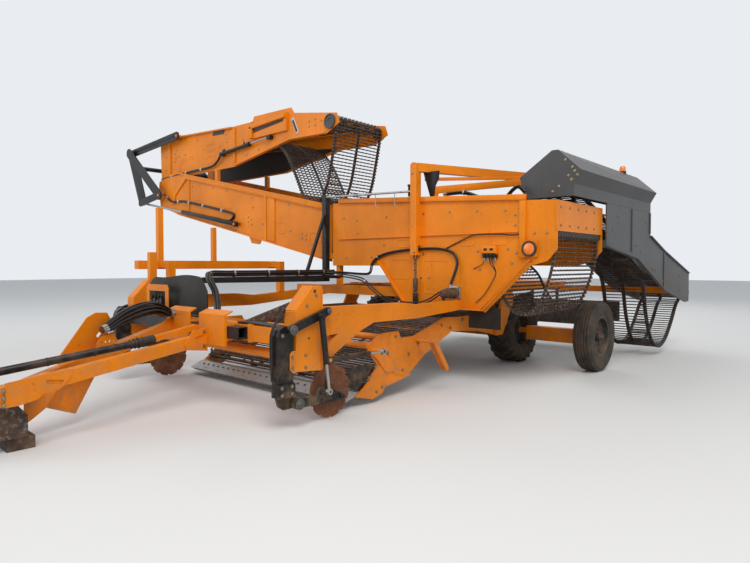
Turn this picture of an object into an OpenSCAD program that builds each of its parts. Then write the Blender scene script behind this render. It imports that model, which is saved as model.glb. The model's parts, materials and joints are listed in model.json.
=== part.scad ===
// Towed four-row potato harvester with a folded two-section delivery boom.
// Machine axes: +X forward from the axle, +Y to the machine's left from the digger's centre line, +Z up.
// The whole is moved so that its box is centred over the origin and stands on Z = 0.

/* [Digger] */
// Number of rows lifted at once
rows = 4; // [3:1:5]
// Distance between two rows
row_pitch = 864; // [760:1:920]
// Thickness of the digger's side plates
side_plate_t = 12; // [8:1:20]
// Height of the digger's rear pivot above the ground
digger_pivot_z = 620; // [560:1:660]
// Diameter of a chain rod
rod_d = 16; // [11:1:22]
// Distance between two rods of the digging chain
rod_pitch = 100; // [80:1:140]

/* [Wheels] */
// Diameter of the outrigger tyre
outrigger_tyre_d = 1060; // [980:1:1120]
// Section width of the outrigger tyre
outrigger_tyre_w = 280; // [220:1:310]
// Distance of the outrigger wheel from the digger's centre line
outrigger_y = 2750; // [2600:1:2850]
// Diameter of the lugged main tyres over their lugs
main_tyre_d = 1060; // [980:1:1120]
// Section width of the main tyres
main_tyre_w = 460; // [380:1:500]
// Distance of each main wheel from the digger's centre line
main_wheel_y = 1400; // [1380:1:1440]

/* [Tongue] */
// Height of the front tool bar's lower face
toolbar_z = 790; // [740:1:820]
// Height of the tool bar's box section
toolbar_h = 170; // [150:1:190]
// Depth of the tool bar's box section
toolbar_t = 180; // [150:1:200]
// Distance from the axle to the tool bar's front face
toolbar_front = 4990; // [4930:1:5050]
// Distance from the axle to the hitch pin
hitch_x = 7330; // [7100:1:7500]
// Distance of the hitch pin from the digger's centre line
hitch_y = 380; // [300:1:440]
// Diameter of the hitch pin's bore
hitch_bore_d = 52; // [32:1:60]
// Height of the block that the hitch stands on
block_h = 110; // [90:1:130]

/* [Cross conveyor] */
// Distance from the axle to the trough's front face
trough_front = 2100; // [2060:1:2160]
// Width of the trough from its front wall to its rear wall
trough_w = 1450; // [1380:1:1500]
// Distance of the trough's left end from the digger's centre line
trough_left = 3090; // [3000:1:3150]
// Distance of the trough's right end from the digger's centre line
trough_right = -760; // [-820:1:-700]
// Thickness of the trough's walls
wall_t = 20; // [12:1:30]

/* [Boom] */
// Rise of the lower boom section in degrees
boom_rise = 12.25; // [11:0.25:13]
// Length of the lower boom section's side panels
lower_len = 5210; // [5000:1:5400]
// Height of the boom's side panels
boom_h = 920; // [860:1:960]
// Length of the upper boom section
upper_len = 5800; // [5600:1:5900]

/* [Side elevator] */
// Distance of the elevator's outer wall from the digger's centre line
elevator_left = 3150; // [3110:1:3200]
// Width of the elevator between its outer faces
elevator_w = 860; // [820:1:900]
// Height of the hood's ridge above the ground
hood_top = 3040; // [2980:1:3100]

/* [Hidden] */
$fn = 32;

orange = [0.93, 0.52, 0.08];
grey = [0.22, 0.22, 0.23];
black = [0.08, 0.08, 0.08];
rust = [0.42, 0.24, 0.15];
steel = [0.62, 0.63, 0.65];
rubber = [0.14, 0.14, 0.14];

digger_w = rows * row_pitch;
digger_y = digger_w / 2;
axle_z = outrigger_tyre_d / 2;

// Box of the whole machine, from the pieces that reach furthest each way
hitch_nose = 130;
rear_end = -3820;
lamp_reach = 150;
hood_bulge = 90;
elbow_y = -7840;
elbow_r = 110;
mid_x = (hitch_x + hitch_nose + rear_end - lamp_reach) / 2;
mid_y = (elevator_left + hood_bulge + elbow_y - elbow_r) / 2;

// Moves a piece from the machine's axes to the middle of its box
module machine() translate([-mid_x, -mid_y, 0]) children();
// Outline drawn in Y and Z, thick along X from x0 to x1
module yz(x0, x1) translate([x0, 0, 0]) rotate([90, 0, 90]) linear_extrude(x1 - x0) children();
// Outline drawn in X and Z, thick along Y from y0 to y1
module xz(y0, y1) translate([0, y1, 0]) rotate([90, 0, 0]) linear_extrude(y1 - y0) children();
// Block between two opposite corners
module block(low, high) translate(low) cube(high - low);
// Turns children from +Z to lie along the line from p to q
module along(p, q) {
    d = q - p;
    translate(p) rotate([0, acos(d[2] / norm(d)), atan2(d[1], d[0])]) children();
}
// Round bar between two points
module bar(p, q, d) along(p, q) cylinder(d = d, h = norm(q - p));
// Square box beam between two points, w wide and h high
module beam(p, q, w, h) along(p, q) translate([-h / 2, -w / 2, 0]) cube([h, w, norm(q - p)]);
// Round bar across the machine at (x, z)
module cross_bar(x, z, y0, y1, d) translate([x, y1, z]) rotate([90, 0, 0]) cylinder(d = d, h = y1 - y0);
// Round bar along the machine at (y, z)
module long_bar(y, z, x0, x1, d) translate([x0, y, z]) rotate([0, 90, 0]) cylinder(d = d, h = x1 - x0);

// Points of a closed path, one every step, and the band that a chain's strap makes along it
function path_at(p, s, i = 0) =
    let (a = p[i % len(p)], b = p[(i + 1) % len(p)], l = norm(b - a))
    s <= l || i > 2 * len(p) ? a + (b - a) * s / l : path_at(p, s - l, i + 1);
function turn90(v) = [-v[1], v[0]];
function path_side(p, i, off) =
    let (n = len(p), d0 = p[i] - p[(i + n - 1) % n], d1 = p[(i + 1) % n] - p[i],
        n0 = turn90(d0) / norm(d0), n1 = turn90(d1) / norm(d1), m = (n0 + n1) / norm(n0 + n1))
    p[i] + m * off / (m * n1);
function turning(p, i = 0) = i >= len(p) ? 0
    : let (a = p[i], b = p[(i + 1) % len(p)]) a[0] * b[1] - a[1] * b[0] + turning(p, i + 1);
module strap(p, t) {
    out = turning(p) > 0 ? -t / 2 : t / 2;
    difference() {
        polygon([for (i = [0:len(p) - 1]) path_side(p, i, out)]);
        polygon([for (i = [0:len(p) - 1]) path_side(p, i, -out)]);
    }
}
// Open band of thickness t along a path, on its left side
function open_side(p, i, off) = i == 0 ? p[0] + turn90(p[1] - p[0]) / norm(p[1] - p[0]) * off
    : i == len(p) - 1 ? p[i] + turn90(p[i] - p[i - 1]) / norm(p[i] - p[i - 1]) * off : path_side(p, i, off);
module band(p, t) polygon(concat(p, [for (i = [len(p) - 1:-1:0]) open_side(p, i, t)]));

// Lays a chain drawn in (Y, Z) along X, and one drawn in (X, Z) along Y
module lay_x(x0) translate([x0, 0, 0]) rotate([90, 0, 90]) children();
module lay_y(y1) translate([0, y1, 0]) rotate([90, 0, 0]) children();
// Chain w wide: a strap on both edges, rods from one to the other over [from, to] of its path
strap_t = 26;
strap_w = 40;
rod_in = 8;
module chain(path, w, from, to, pitch) {
    for (z = [0, w - strap_w]) translate([0, 0, z]) linear_extrude(strap_w) strap(path, strap_t);
    for (s = [from:pitch:to]) translate(concat(path_at(path, s), [rod_in]))
        rotate(45) cylinder(d = rod_d, h = w - 2 * rod_in, $fn = 4);
}
// Round bar d that lies just under the run from a to b at distance s from a, seen along the bar
seat = 0.3;
function under(a, b, s, d) = let (u = (b - a) / norm(b - a), n = turn90(u))
    a + u * s - (n[1] > 0 ? n : -n) * (strap_t / 2 + d / 2 + seat);
// Closed run of a chain between two points, as one thin slab
bed_t = 10;
module bed(a, b, w) {
    n = turn90(b - a) / norm(b - a) * bed_t / 2;
    linear_extrude(w) polygon([a + n, b + n, b - n, a - n]);
}

// Trough of the cross conveyor
trough_rear = trough_front - trough_w;
trough_top_left = 2380;
trough_top_right = 2610;
trough_bottom = 1590;
flange = 30;
flange_h = 60;
end_plate_z = 2010;
// Lower plate of the trough's front wall, that holds the chain's drive
drive_top = [270, 2770];
drive_bottom = [820, 2110];
drive_z = [1000, 1660];
// Pin that the boom turns on
hinge_y = -800;
hinge_z = 1750;
hinge_pin_d = 40;
hinge_ear_d = 110;
pin_play = 0.1;
// Opening in the rear wall where the elevator comes in
elevator_in = [2310, 1950];

function trough_top(y) = trough_top_left
    + (trough_left - y) * (trough_top_right - trough_top_left) / (trough_left - trough_right);
module trough_side() {
    polygon([[trough_right, trough_bottom], [drive_top[1] - 20, trough_bottom],
        [trough_left - 120, trough_bottom + 60],
        [trough_left, trough_bottom + 200], [trough_left, trough_top_left],
            [trough_right, trough_top_right]]);
    translate([hinge_y, hinge_z]) circle(d = hinge_ear_d);
}
module trough_flange(x0, x1, y0, y1) yz(x0, x1) polygon([[y0, trough_top(y0) - flange_h],
    [y1, trough_top(y1) - flange_h], [y1, trough_top(y1)], [y0, trough_top(y0)]]);
module trough() color(orange) machine() {
    yz(trough_front - wall_t, trough_front) {
        trough_side();
        polygon([[drive_top[0], drive_z[1]], [drive_bottom[0], drive_z[0]],
            [drive_bottom[1], drive_z[0]], [drive_top[1], drive_z[1]]]);
    }
    difference() {
        yz(trough_rear, trough_rear + wall_t) trough_side();
        block([trough_rear - 1, elevator_in[0], elevator_in[1]],
            [trough_rear + wall_t + 1, trough_left - wall_t, 3000]);
    }
    trough_flange(trough_front - wall_t - flange, trough_front - wall_t, trough_right + 160, trough_left);
    trough_flange(trough_rear + wall_t, trough_rear + wall_t + flange, trough_right + 160, elevator_in[0]);
    block([trough_rear, trough_left - wall_t, end_plate_z], [trough_front, trough_left, trough_top_left]);
    // Flange round the panel of the chain's drive, and the square plate that holds the front lamp
    difference() {
        yz(trough_front - 1, trough_front + 70) band([[drive_top[0], drive_z[1]],
            [drive_bottom[0], drive_z[0]],
            [drive_bottom[1], drive_z[0]], [drive_top[1], drive_z[1]]], 12);
        block([trough_front, side_beam_y - side_beam_w / 2 - 1, drive_z[0] - 20],
            [trough_front + 71, side_beam_y + side_beam_w / 2 + 1, drive_z[0] + 135]);
    }
    difference() {
        block([trough_front - 1, lamp_at[0] - 100, lamp_at[1] - 100],
            [trough_front + 30, lamp_at[0] + 100, lamp_at[1] + 100]);
        long_bar(lamp_at[0], lamp_at[1], trough_front - 2, trough_front + 40, lamp_d + 2 * seat);
    }
    // Bars under the upper run of the chain
    for (y = [trough_right + 100, 400, 1500, 2500])
        block([trough_rear, y, 1900], [trough_front, y + 50, bed_z - strap_t / 2]);
    for (x = [trough_rear, trough_front - wall_t - 20])
        long_bar(hinge_y, hinge_z, x, x + wall_t + 20 + (x > trough_rear ? 0 : 40), hinge_pin_d);
}

bed_z = 1985;
trough_path = [[-690, bed_z], [2940, bed_z], [3025, 1930], [3045, 1800], [2980, 1450], [2840, 1090],
    [2640, 955],
    [2440, 1020], [2290, 1240], [2170, 1500], [1900, 1690], [-640, 1750], [-735, 1860]];
module trough_chain() color(rust) machine() lay_x(trough_rear + wall_t + 20) {
    w = trough_w - 2 * wall_t - 40;
    chain(trough_path, w, 3640, 6300, 130);
    bed([-690, bed_z], [2930, bed_z], w);
    bed([1890, 1690], [-640, 1750], w);
}

// Gantry over the trough
gantry_y = 1000;
gantry_top = 3050;
gantry_w = 110;
gantry_rear = [trough_rear - gantry_w / 2, 1950];
module gantry() color(orange) machine() {
    front = [trough_front + gantry_w / 2, gantry_y];
    w = gantry_w / 2;
    difference() {
        yz(trough_front, trough_front + gantry_w) translate([gantry_y, 0]) polygon([[-w, 1740], [w, 1740],
            [w, gantry_top - 25], [w / 2, gantry_top + 5], [-w / 2, gantry_top + 5], [-w, gantry_top - 25]]);
        // Gap behind the post for the hoses
        block([trough_front - 1, gantry_y - w - 1, 1785], [trough_front + 64, gantry_y + w + 1, 1875]);
    }
    block([trough_rear - gantry_w, gantry_rear[1] - 50, 1600],
        [trough_rear, gantry_rear[1] + 50, gantry_top - 60]);
    beam([front[0], front[1], gantry_top - 60], [gantry_rear[0], gantry_rear[1], gantry_top - 120], 100, 120);
}
tray_y = -500;
tray_z = 1440;
tray_end = 4620;
module black_frame() color(black) machine() {
    block([trough_front + seat, -930, 1330], [trough_front + 85, -840, 2740]);
    block([trough_front + 85, -930, 1330], [2450, -840, 1420]);
    beam([2300, -875, 1373], [4300, -1560, 1373], 260, 76);
    beam([trough_front + 40, -885, 2500], [trough_front + 500, -885, 1390], 44, 44);
    // Tray that carries the hoses across the front
    block([trough_front + 86, tray_y - 60, tray_z - 40], [tray_end, tray_y + 60, tray_z]);
    block([trough_front + 85, -885, tray_z - 55], [trough_front + 125, tray_y, tray_z - 15]);
}
module chain_motor() color(rust) machine() {
    long_bar(1650, 1220, trough_front + 20, trough_front + 330, 120);
    block([trough_front, 1560, 1130], [trough_front + 20, 1740, 1310]);
}
module valve_block() color(steel) machine() {
    block([trough_front, 2080, 1690], [trough_front + 60, 2300, 1850]);
}
lamp_at = [2750, 1800];
lamp_d = 150;
module lamps() color(orange) machine() {
    long_bar(lamp_at[0], lamp_at[1], trough_front, trough_front + 60, lamp_d);
    block([rear_end - lamp_reach, elevator_left - 90, 1010], [rear_end, elevator_left, 1110]);
    translate([-700, 2900, hood_top + seat]) cylinder(d = 110, h = 120);
}
module rubber_flaps() color(rubber) machine() {
    block([trough_front - wall_t - 8, 1850, 760], [trough_front - wall_t, 2330, 1040]);
    // Board that divides the flow, behind the tool bar
    xz(490, 505) polygon([[toolbar_front - toolbar_t - seat, 932], [4050, 1140], [4050, 1000],
        [toolbar_front - toolbar_t - seat, 815]]);
    // Curtain that stands on the tool bar
    x = toolbar_front - 140;
    z = toolbar_z + toolbar_h + seat;
    yz(x, x + 10) polygon([[-1550, z], [-60, z], [-60, z + 340], [-110, z + 440], [-210, z + 490],
        [-1350, z + 500],
        [-1480, z + 470], [-1550, z + 390]]);
}

// Hoses: tubes swept along routes whose points are chosen by hand
hose_sides = 8;
hose_d = 50;
bundle_d = 90;
function unit(v) = v / norm(v);
function eased(a, b, c, d, t) = b + ((c - a) * t + (2 * a - 5 * b + 4 * c - d) * t * t
    + (3 * b - a - 3 * c + d) * t * t * t) / 2;
function smooth(p, n) = [for (i = [0:(len(p) - 1) * n]) let (k = min(floor(i / n), len(p) - 2))
    eased(p[max(k - 1, 0)], p[k], p[k + 1], p[min(k + 2, len(p) - 1)], i / n - k)];
module hose(route, d, up) {
    p = smooth(route, 2);
    n = len(p);
    m = hose_sides;
    polyhedron([for (i = [0:n - 1]) let (t = unit(p[min(i + 1, n - 1)] - p[max(i - 1, 0)]),
        u = unit(cross(t, up)),
        v = cross(t, u)) for (k = [0:m - 1]) p[i] + (u * cos(k * 360 / m) + v * sin(k * 360 / m)) * d / 2],
        concat([[for (k = [0:m - 1]) k], [for (k = [m - 1:-1:0]) (n - 1) * m + k]],
            [for (i = [0:n - 2], k = [0:m - 1]) [i * m + k, (i + 1) * m + k, (i + 1) * m + (k + 1) % m]],
            [for (i = [0:n - 2], k = [0:m - 1]) [i * m + k, (i + 1) * m + (k + 1) % m,
                i * m + (k + 1) % m]]));
}
// Over the trough's front, below it to the motor, and along the tray down to the tool bar
front_hose = [[2130, 110, 1500], [2130, 150, 1640], [2130, 320, 1745], [2130, 620, 1805], [2130, 1000, 1830],
    [2130, 1380, 1830], [2130, 1620, 1770], [2135, 1700, 1640], [2170, 1680, 1480], [2205, 1655, 1370],
    [2210, 1650, 1320], [2210, 1650, 1280.7]];
low_hose = [[2210, 20, 1390], [2205, 180, 1260], [2205, 460, 1110], [2205, 800, 1050], [2205, 1130, 1060],
    [2210, 1330, 1130], [2225, 1470, 1210], [2230, 1540, 1220], [2230, 1589.3, 1220]];
tray_hose = [[2330, tray_y, 1486.5], [3400, tray_y, 1486.5], [4250, tray_y, 1486.5], [4560, -450, 1486.5],
    [4690, -290, 1430], [4745, -80, 1290], [4810, 80, 1140], [4840, 120, 1050], [4840, 120, 1000],
    [4840, 120, 961]];
module hoses() color(rubber) machine() {
    hose(front_hose, hose_d, [1, 0, 0]);
    hose(low_hose, hose_d, [1, 0, 0]);
    hose(tray_hose, bundle_d, [0.3, 1, 0]);
}

// Frame: side beams, rear beams, legs and cross members
side_beam_y = 1700;
side_beam_w = 120;
mast_x = 4700;
rear_beam_y = 1080;
rear_beam_w = 100;
rear_beam_z = [1130, 1270];
rear_x = -2700;
cross_x = 550;
axle_top = 610;
module side_beam(s, x0, top) xz(s * side_beam_y - side_beam_w / 2, s * side_beam_y + side_beam_w / 2)
    difference() {
    polygon([[mast_x, 1170], [3350, 1150], [3000, 1110], [x0, top], [x0, top - 130], [3100, 950], [3880, 960],
        [4110, 880], [4560, 640], [mast_x, 600]]);
    polygon([[mast_x + 1, 870], [4440, 885], [4620, 750], [mast_x + 1, 725]]);
}
module pivot_plate(y0, y1) difference() {
    xz(y0, y1) polygon([[cross_x, 1270], [760, 1270], [1040, 720], [1040, 540], [860, 540], [cross_x, 1000]]);
    cross_bar(digger_pivot_x, digger_pivot_z, y0 - 1, y1 + 1, pivot_pin_d + pin_play);
}
module main_frame() color(orange) machine() {
    side_beam(1, trough_front, 1130);
    side_beam(-1, cross_x, 1270);
    for (s = [-1, 1]) {
        y0 = s * rear_beam_y - rear_beam_w / 2;
        block([rear_x, y0, rear_beam_z[0]], [trough_front - wall_t, y0 + rear_beam_w, rear_beam_z[1]]);
        block([-90, y0, axle_top], [90, y0 + rear_beam_w, rear_beam_z[0]]);
        mirror_y(s) cross_bar(lift_foot[0], lift_foot[1], side_beam_y, lift_y + 30, 40);
        pivot_plate(s > 0 ? plate_y + 12 : -plate_y - 52, s > 0 ? plate_y + 52 : -plate_y - 12);
    }
    block([cross_x, -side_beam_y, rear_beam_z[0]], [cross_x + 100, plate_y + 52, rear_beam_z[1]]);
    block([rear_x, -rear_beam_y, rear_beam_z[0]], [rear_x + 100, rear_beam_y, rear_beam_z[1]]);
    block([trough_front - wall_t - 100, -side_beam_y, rear_beam_z[0]],
        [trough_front - wall_t, rear_beam_y, rear_beam_z[1]]);
    // Posts up to the trough
    for (y = [-700, 620], x = [trough_rear - 60, trough_front - wall_t - 80])
        block([x, y, rear_beam_z[0] + 20], [x + 80, y + 80,
            y < 0 || x < 1000 ? trough_bottom : trough_bottom + 40]);
    // Cross beam that carries the elevator
    block([-2560, -rear_beam_y, 1090], [-2440, elevator_left - 20, 1200]);
}
spindle_d = 90;
hub_in = main_tyre_w / 2;
module axle_beam() color(orange) machine() {
    block([-75, -main_wheel_y + hub_in + 40, 400], [75, main_wheel_y - hub_in - 40, axle_top]);
    block([-75, main_wheel_y + hub_in + 40, 390], [75, outrigger_y - 230, axle_top]);
    cross_bar(0, axle_z, main_wheel_y - hub_in - 60, outrigger_y - 200, spindle_d);
    cross_bar(0, axle_z, outrigger_y - 232, outrigger_y + 30, spindle_d);
    cross_bar(0, axle_z, -main_wheel_y - 150, -main_wheel_y + hub_in + 60, spindle_d);
}
module toolbar() color(orange) machine() {
    block([toolbar_front - toolbar_t, -mast_in, toolbar_z], [toolbar_front, mast_in, toolbar_z + toolbar_h]);
    block([toolbar_front - toolbar_t - 12, 960, toolbar_z - 12],
        [toolbar_front + 12, 1020, toolbar_z + toolbar_h + 12]);
    cross_bar(toolbar_front - 140, toolbar_z - 130, -mast_in, mast_in, 100);
    // Hoop round the valves on top
    top = toolbar_z + toolbar_h;
    yz(toolbar_front - 52, toolbar_front - 40) difference() {
        polygon([[-1420, top - 5], [-1420, top + 340], [-1380, top + 385], [-880, top + 385],
            [-840, top + 340],
            [-840, top - 5]]);
        polygon([[-1350, top - 6], [-1350, top + 300], [-920, top + 300], [-920, top - 6]]);
    }
}
mast_in = 1620;
mast_out = 1800;
module masts() color(orange) machine() for (s = [-1, 1]) {
    y0 = s > 0 ? mast_in : -mast_out;
    xz(y0, y0 + mast_out - mast_in) polygon([[mast_x, 540], [5040, 570], [5040, 1150], [4800, 1390],
        [mast_x, 1390]]);
    // Ear in front of the outer face, with its two bolt holes
    mirror_y(s) difference() {
        xz(mast_out - 12, mast_out) polygon([[5030, 775], [5085, 775], [5115, 745], [5115, 600],
            [5085, 565], [5030, 565]]);
        for (z = [610, 725]) cross_bar(5085, z, mast_out - 20, mast_out + 10, 22);
    }
}
// Black legs in front of the masts that hold the coulters, with the bars that hold them
leg_y = [1690, 1780];
arm_pivot = [5010, 255];
arm_pin_d = 50;
link_front = [5120, 985];
link_rear = [4650, 1135];
module mirror_y(s) mirror([0, s > 0 ? 0 : 1, 0]) children();
module coulter_legs() color(black) machine() for (s = [-1, 1]) mirror_y(s) {
    xz(leg_y[0], leg_y[1]) polygon([[5060, 470], [5250, 470], [5250, 925], [5225, 985], [5170, 1015],
        [5105, 1015],
        [5060, 965]]);
    xz(leg_y[0], leg_y[1] + 25) polygon([[5055, 340], [5255, 340], [5255, 470], [5055, 470]]);
    xz(leg_y[0] + 10, leg_y[0] + 35) polygon([[5060, 341], [5230, 341], [5200, 245], [5140, 205],
        [5010, 205], [4965, 235],
        [4970, 290], [5035, 315]]);
    cross_bar(arm_pivot[0], arm_pivot[1], leg_y[0] + 20, mast_out + 10, arm_pin_d);
    // Link bar back along the mast, on a pin through the leg's top
    xz(mast_out + 4, mast_out + 44) plate_link(link_front, link_rear, 80);
    cross_bar(link_front[0], link_front[1], leg_y[0] + 5, mast_out + 60, 56);
    for (f = [0.45, 0.85]) cross_bar(link_front[0] + (link_rear[0] - link_front[0]) * f,
        link_front[1] + (link_rear[1] - link_front[1]) * f, mast_out, mast_out + 56, 34);
    cross_bar(cyl_top[0], cyl_top[1], mast_out + 25, mast_out + 130, 30);
}
// Trailing arm, disc and depth cylinder of a coulter
cyl_top = [4790, 1085];
cyl_eye = [4690, 335];
disc_at = [4500, 285];
disc_d = 560;
arm_end = [4400, 240];
module coulter_arm(s) color(black) machine() mirror_y(s) {
    difference() {
        union() {
            beam([arm_pivot[0], 1770, arm_pivot[1]], [arm_end[0], 1770, arm_end[1]], 50, 90);
            cross_bar(arm_pivot[0], arm_pivot[1], 1737, 1803, 110);
        }
        cross_bar(arm_pivot[0], arm_pivot[1], 1700, 1820, arm_pin_d + pin_play);
    }
    // Ears of the depth cylinder, the disc's stub and the pin at the arm's tail
    cross_bar(cyl_eye[0], cyl_eye[1], 1750, mast_out + 64, 30);
    xz(1752, 1788) polygon([[cyl_eye[0] - 95, 270], [cyl_eye[0] - 28, cyl_eye[1] + 28],
        [cyl_eye[0] + 28, cyl_eye[1] + 28],
        [cyl_eye[0] + 75, 270]]);
    cross_bar(disc_at[0], disc_at[1], 1640, 1760, 40);
    cross_bar(arm_end[0] + 25, arm_end[1], 1740, 1812, 36);
}
notches = 12;
module disc(s) color(rust) machine() mirror_y(s) difference() {
    union() {
        cross_bar(disc_at[0], disc_at[1], 1690, 1700, disc_d);
        cross_bar(disc_at[0], disc_at[1], 1660, 1730, 120);
    }
    cross_bar(disc_at[0], disc_at[1], 1600, 1800, 40 + pin_play);
    // Notches around the rim
    for (i = [0:notches - 1]) translate([disc_at[0], 1695, disc_at[1]]) rotate([0, i * 360 / notches, 0])
        translate([disc_d / 2 + 6, 0, 0]) rotate([90, 0, 0])
            cylinder(d = 44, h = 40, center = true, $fn = 12);
}
cyl_mid = 0.62;
module coulter_cylinder(s) color(black) machine() mirror_y(s) difference() {
    p = [cyl_top[0], mast_out + 90, cyl_top[1]];
    q = [cyl_eye[0], mast_out + 90, cyl_eye[1]];
    union() {
        bar(p, p + (q - p) * cyl_mid, 60);
        cross_bar(p[0], p[2], p[1] - 20, p[1] + 20, 70);
    }
    cross_bar(p[0], p[2], p[1] - 60, p[1] + 60, 30 + pin_play);
    bar(p + (q - p) * 0.15, q, 30 + 2 * seat);
}
module coulter_rod(s) color(steel) machine() mirror_y(s) difference() {
    p = [cyl_top[0], mast_out + 90, cyl_top[1]];
    q = [cyl_eye[0], mast_out + 90, cyl_eye[1]];
    union() {
        bar(p + (q - p) * 0.40, q, 30);
        cross_bar(q[0], q[2], q[1] - 20, q[1] + 20, 60);
    }
    cross_bar(q[0], q[2], q[1] - 60, q[1] + 60, 30 + pin_play);
}
module left_coulter_arm() coulter_arm(1);
module right_coulter_arm() coulter_arm(-1);
module left_disc() disc(1);
module right_disc() disc(-1);
module left_coulter_cylinder() coulter_cylinder(1);
module right_coulter_cylinder() coulter_cylinder(-1);
module left_coulter_rod() coulter_rod(1);
module right_coulter_rod() coulter_rod(-1);

module slide_bar() color(black) machine() {
    difference() {
        block([toolbar_front, -mast_in + 10, slide_z[0]], [toolbar_front + slide_t, slide_end, slide_z[1]]);
        block([toolbar_front + 12, -mast_in, slide_z[0] + 12],
            [toolbar_front + slide_t - 12, slide_end + 1, slide_z[1] - 12]);
    }
}
slide_t = 120;
slide_end = 940;
slide_z = [toolbar_z + 20, toolbar_z + 150];
// Box beam along the right side with its posts, and the upright at the front
module right_frame() color(orange) machine() {
    block([2300, -2100, 1540], [4800, -1975, 1665]);
    for (p = [[2400, 1149.3], [4400, 1167.1]]) {
        block([p[0], -2000, 1560], [p[0] + 100, -1650, 1660]);
        block([p[0], -1755, p[1]], [p[0] + 100, -1650, 1660]);
    }
    block([4400, -2080, 1665], [4480, -2000, 2450]);
    block([3500, -2080, 1665], [3560, -2000, 2200]);
    block([mast_x, -1700, 1390], [4800, -1620, 1780]);
}

// Digger: side plates on a tube that turns on the frame's pivot plates
digger_pivot_x = 950;
pivot_pin_d = 60;
plate_y = digger_y - 100;
lift_eye = [3800, 630];
lift_foot = [4640, 640];
lift_y = 1830;
bed_front = [3860, 300];
bed_top = [2250, 845];
bed_rear = [860, 865];
low_rear = [850, 705];
low_mid = [2150, 710];
low_front = [3840, 180];
module digger_plate() polygon([[4040, 120], [3800, 290], [3680, 440], [3830, 600], [3850, 660],
    [3800, 710], [3640, 790],
    [3540, 800], [3290, 800], [3240, 705], [2950, 705], [2280, 893], [2050, 884], [620, 884], [620, 700],
        [880, 545],
    [1020, 545], [1500, 650], [2150, 700], [2750, 460], [3140, 220], [3390, 180], [3540, 160], [3770, 55]]);
link_top = [2950, 655];
link_low = [2700, 300];
module digger_frame() color(orange) machine() {
    for (s = [-1, 1]) mirror_y(s) {
        xz(plate_y - side_plate_t, plate_y) digger_plate();
        // Shovel plate, gusset and hanger of the lift cylinder, each on the side plate's outer face
        xz(plate_y, plate_y + 9) polygon([[4040, 120], [3800, 290], [3690, 430], [3520, 425], [3545, 170],
            [3600, 95],
            [3770, 55]]);
        xz(plate_y, plate_y + 7) polygon([[3290, 790], [3300, 620], [3140, 420], [3060, 230], [3140, 225],
            [3390, 300],
            [3520, 600], [3440, 790]]);
        xz(plate_y, plate_y + 20) polygon([[3545, 330], [3710, 520], [3850, 600], [3850, 665], [3760, 680],
            [3640, 640],
            [3400, 420], [3400, 330]]);
        cross_bar(lift_eye[0], lift_eye[1], plate_y, lift_y - 26, 40);
        // Edge flange of the side plate
        xz(plate_y - side_plate_t - 40, plate_y - side_plate_t)
            polygon([[3240, 705], [2950, 705], [2280, 893], [2050, 884],
            [2050, 876], [2280, 885], [2948, 697], [3240, 697]]);
    }
    // Links that hang from a pin on the left plate
    cross_bar(link_top[0], link_top[1], plate_y - 2, plate_y + 312, 34);
    cross_bar(link_low[0], link_low[1], plate_y + 220, plate_y + 312, 26);
    for (y = [plate_y + 224, plate_y + 296]) xz(y, y + 12) plate_link(link_top, link_low, 64);
    for (p = [[3580, 745], [3790, 668]]) cross_bar(p[0], p[1], -plate_y - 5, plate_y + 5, 80);
    for (p = [under(bed_front, bed_top, 150, 60), under(bed_front, bed_top, 1450, 60),
        under(bed_top, bed_rear, 700, 60)])
        cross_bar(p[0], p[1], -plate_y, plate_y, 60);
    cross_bar(digger_pivot_x, digger_pivot_z, -plate_y - 50, plate_y + 50, pivot_pin_d);
    cross_bar(digger_pivot_x, digger_pivot_z, -plate_y - 5, plate_y + 5, 80);
}
digger_path = [bed_front, bed_top, bed_rear, [785, 855], [750, 790], [775, 730], low_rear, low_mid, low_front,
    [3900, 190], [3920, 240], [3900, 290]];
module digger_chain() color(rust) machine() lay_y(plate_y - side_plate_t - 50) {
    w = 2 * (plate_y - side_plate_t - 50);
    chain(digger_path, w, 100, 3000, 2 * rod_pitch);
    bed(bed_front, bed_top, w);
    bed(bed_top, bed_rear, w);
    bed(low_rear, low_mid, w);
    bed(low_mid, low_front, w);
}
module blade() color(steel) machine() xz(-plate_y + side_plate_t, plate_y - side_plate_t)
    polygon([[4200, 95], [4020, 175], [3960, 175], [3960, 150], [4190, 85]]);
module lift_cylinders() color(black) machine() for (s = [-1, 1]) mirror_y(s) difference() {
    p = [lift_foot[0], lift_y, lift_foot[1]];
    q = [lift_eye[0], lift_y, lift_eye[1]];
    union() {
        bar(p, p + (q - p) * 0.72, 60);
        cross_bar(p[0], p[2], p[1] - 20, p[1] + 20, 70);
    }
    cross_bar(p[0], p[2], p[1] - 60, p[1] + 60, 40 + pin_play);
    bar(p + (q - p) * 0.2, q, 30 + 2 * seat);
}
module lift_rods() color(steel) machine() for (s = [-1, 1]) mirror_y(s) difference() {
    p = [lift_foot[0], lift_y, lift_foot[1]];
    q = [lift_eye[0], lift_y, lift_eye[1]];
    union() {
        bar(p + (q - p) * 0.35, q, 30);
        cross_bar(q[0], q[2], q[1] - 20, q[1] + 20, 70);
    }
    cross_bar(q[0], q[2], q[1] - 60, q[1] + 60, 40 + pin_play);
}

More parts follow.
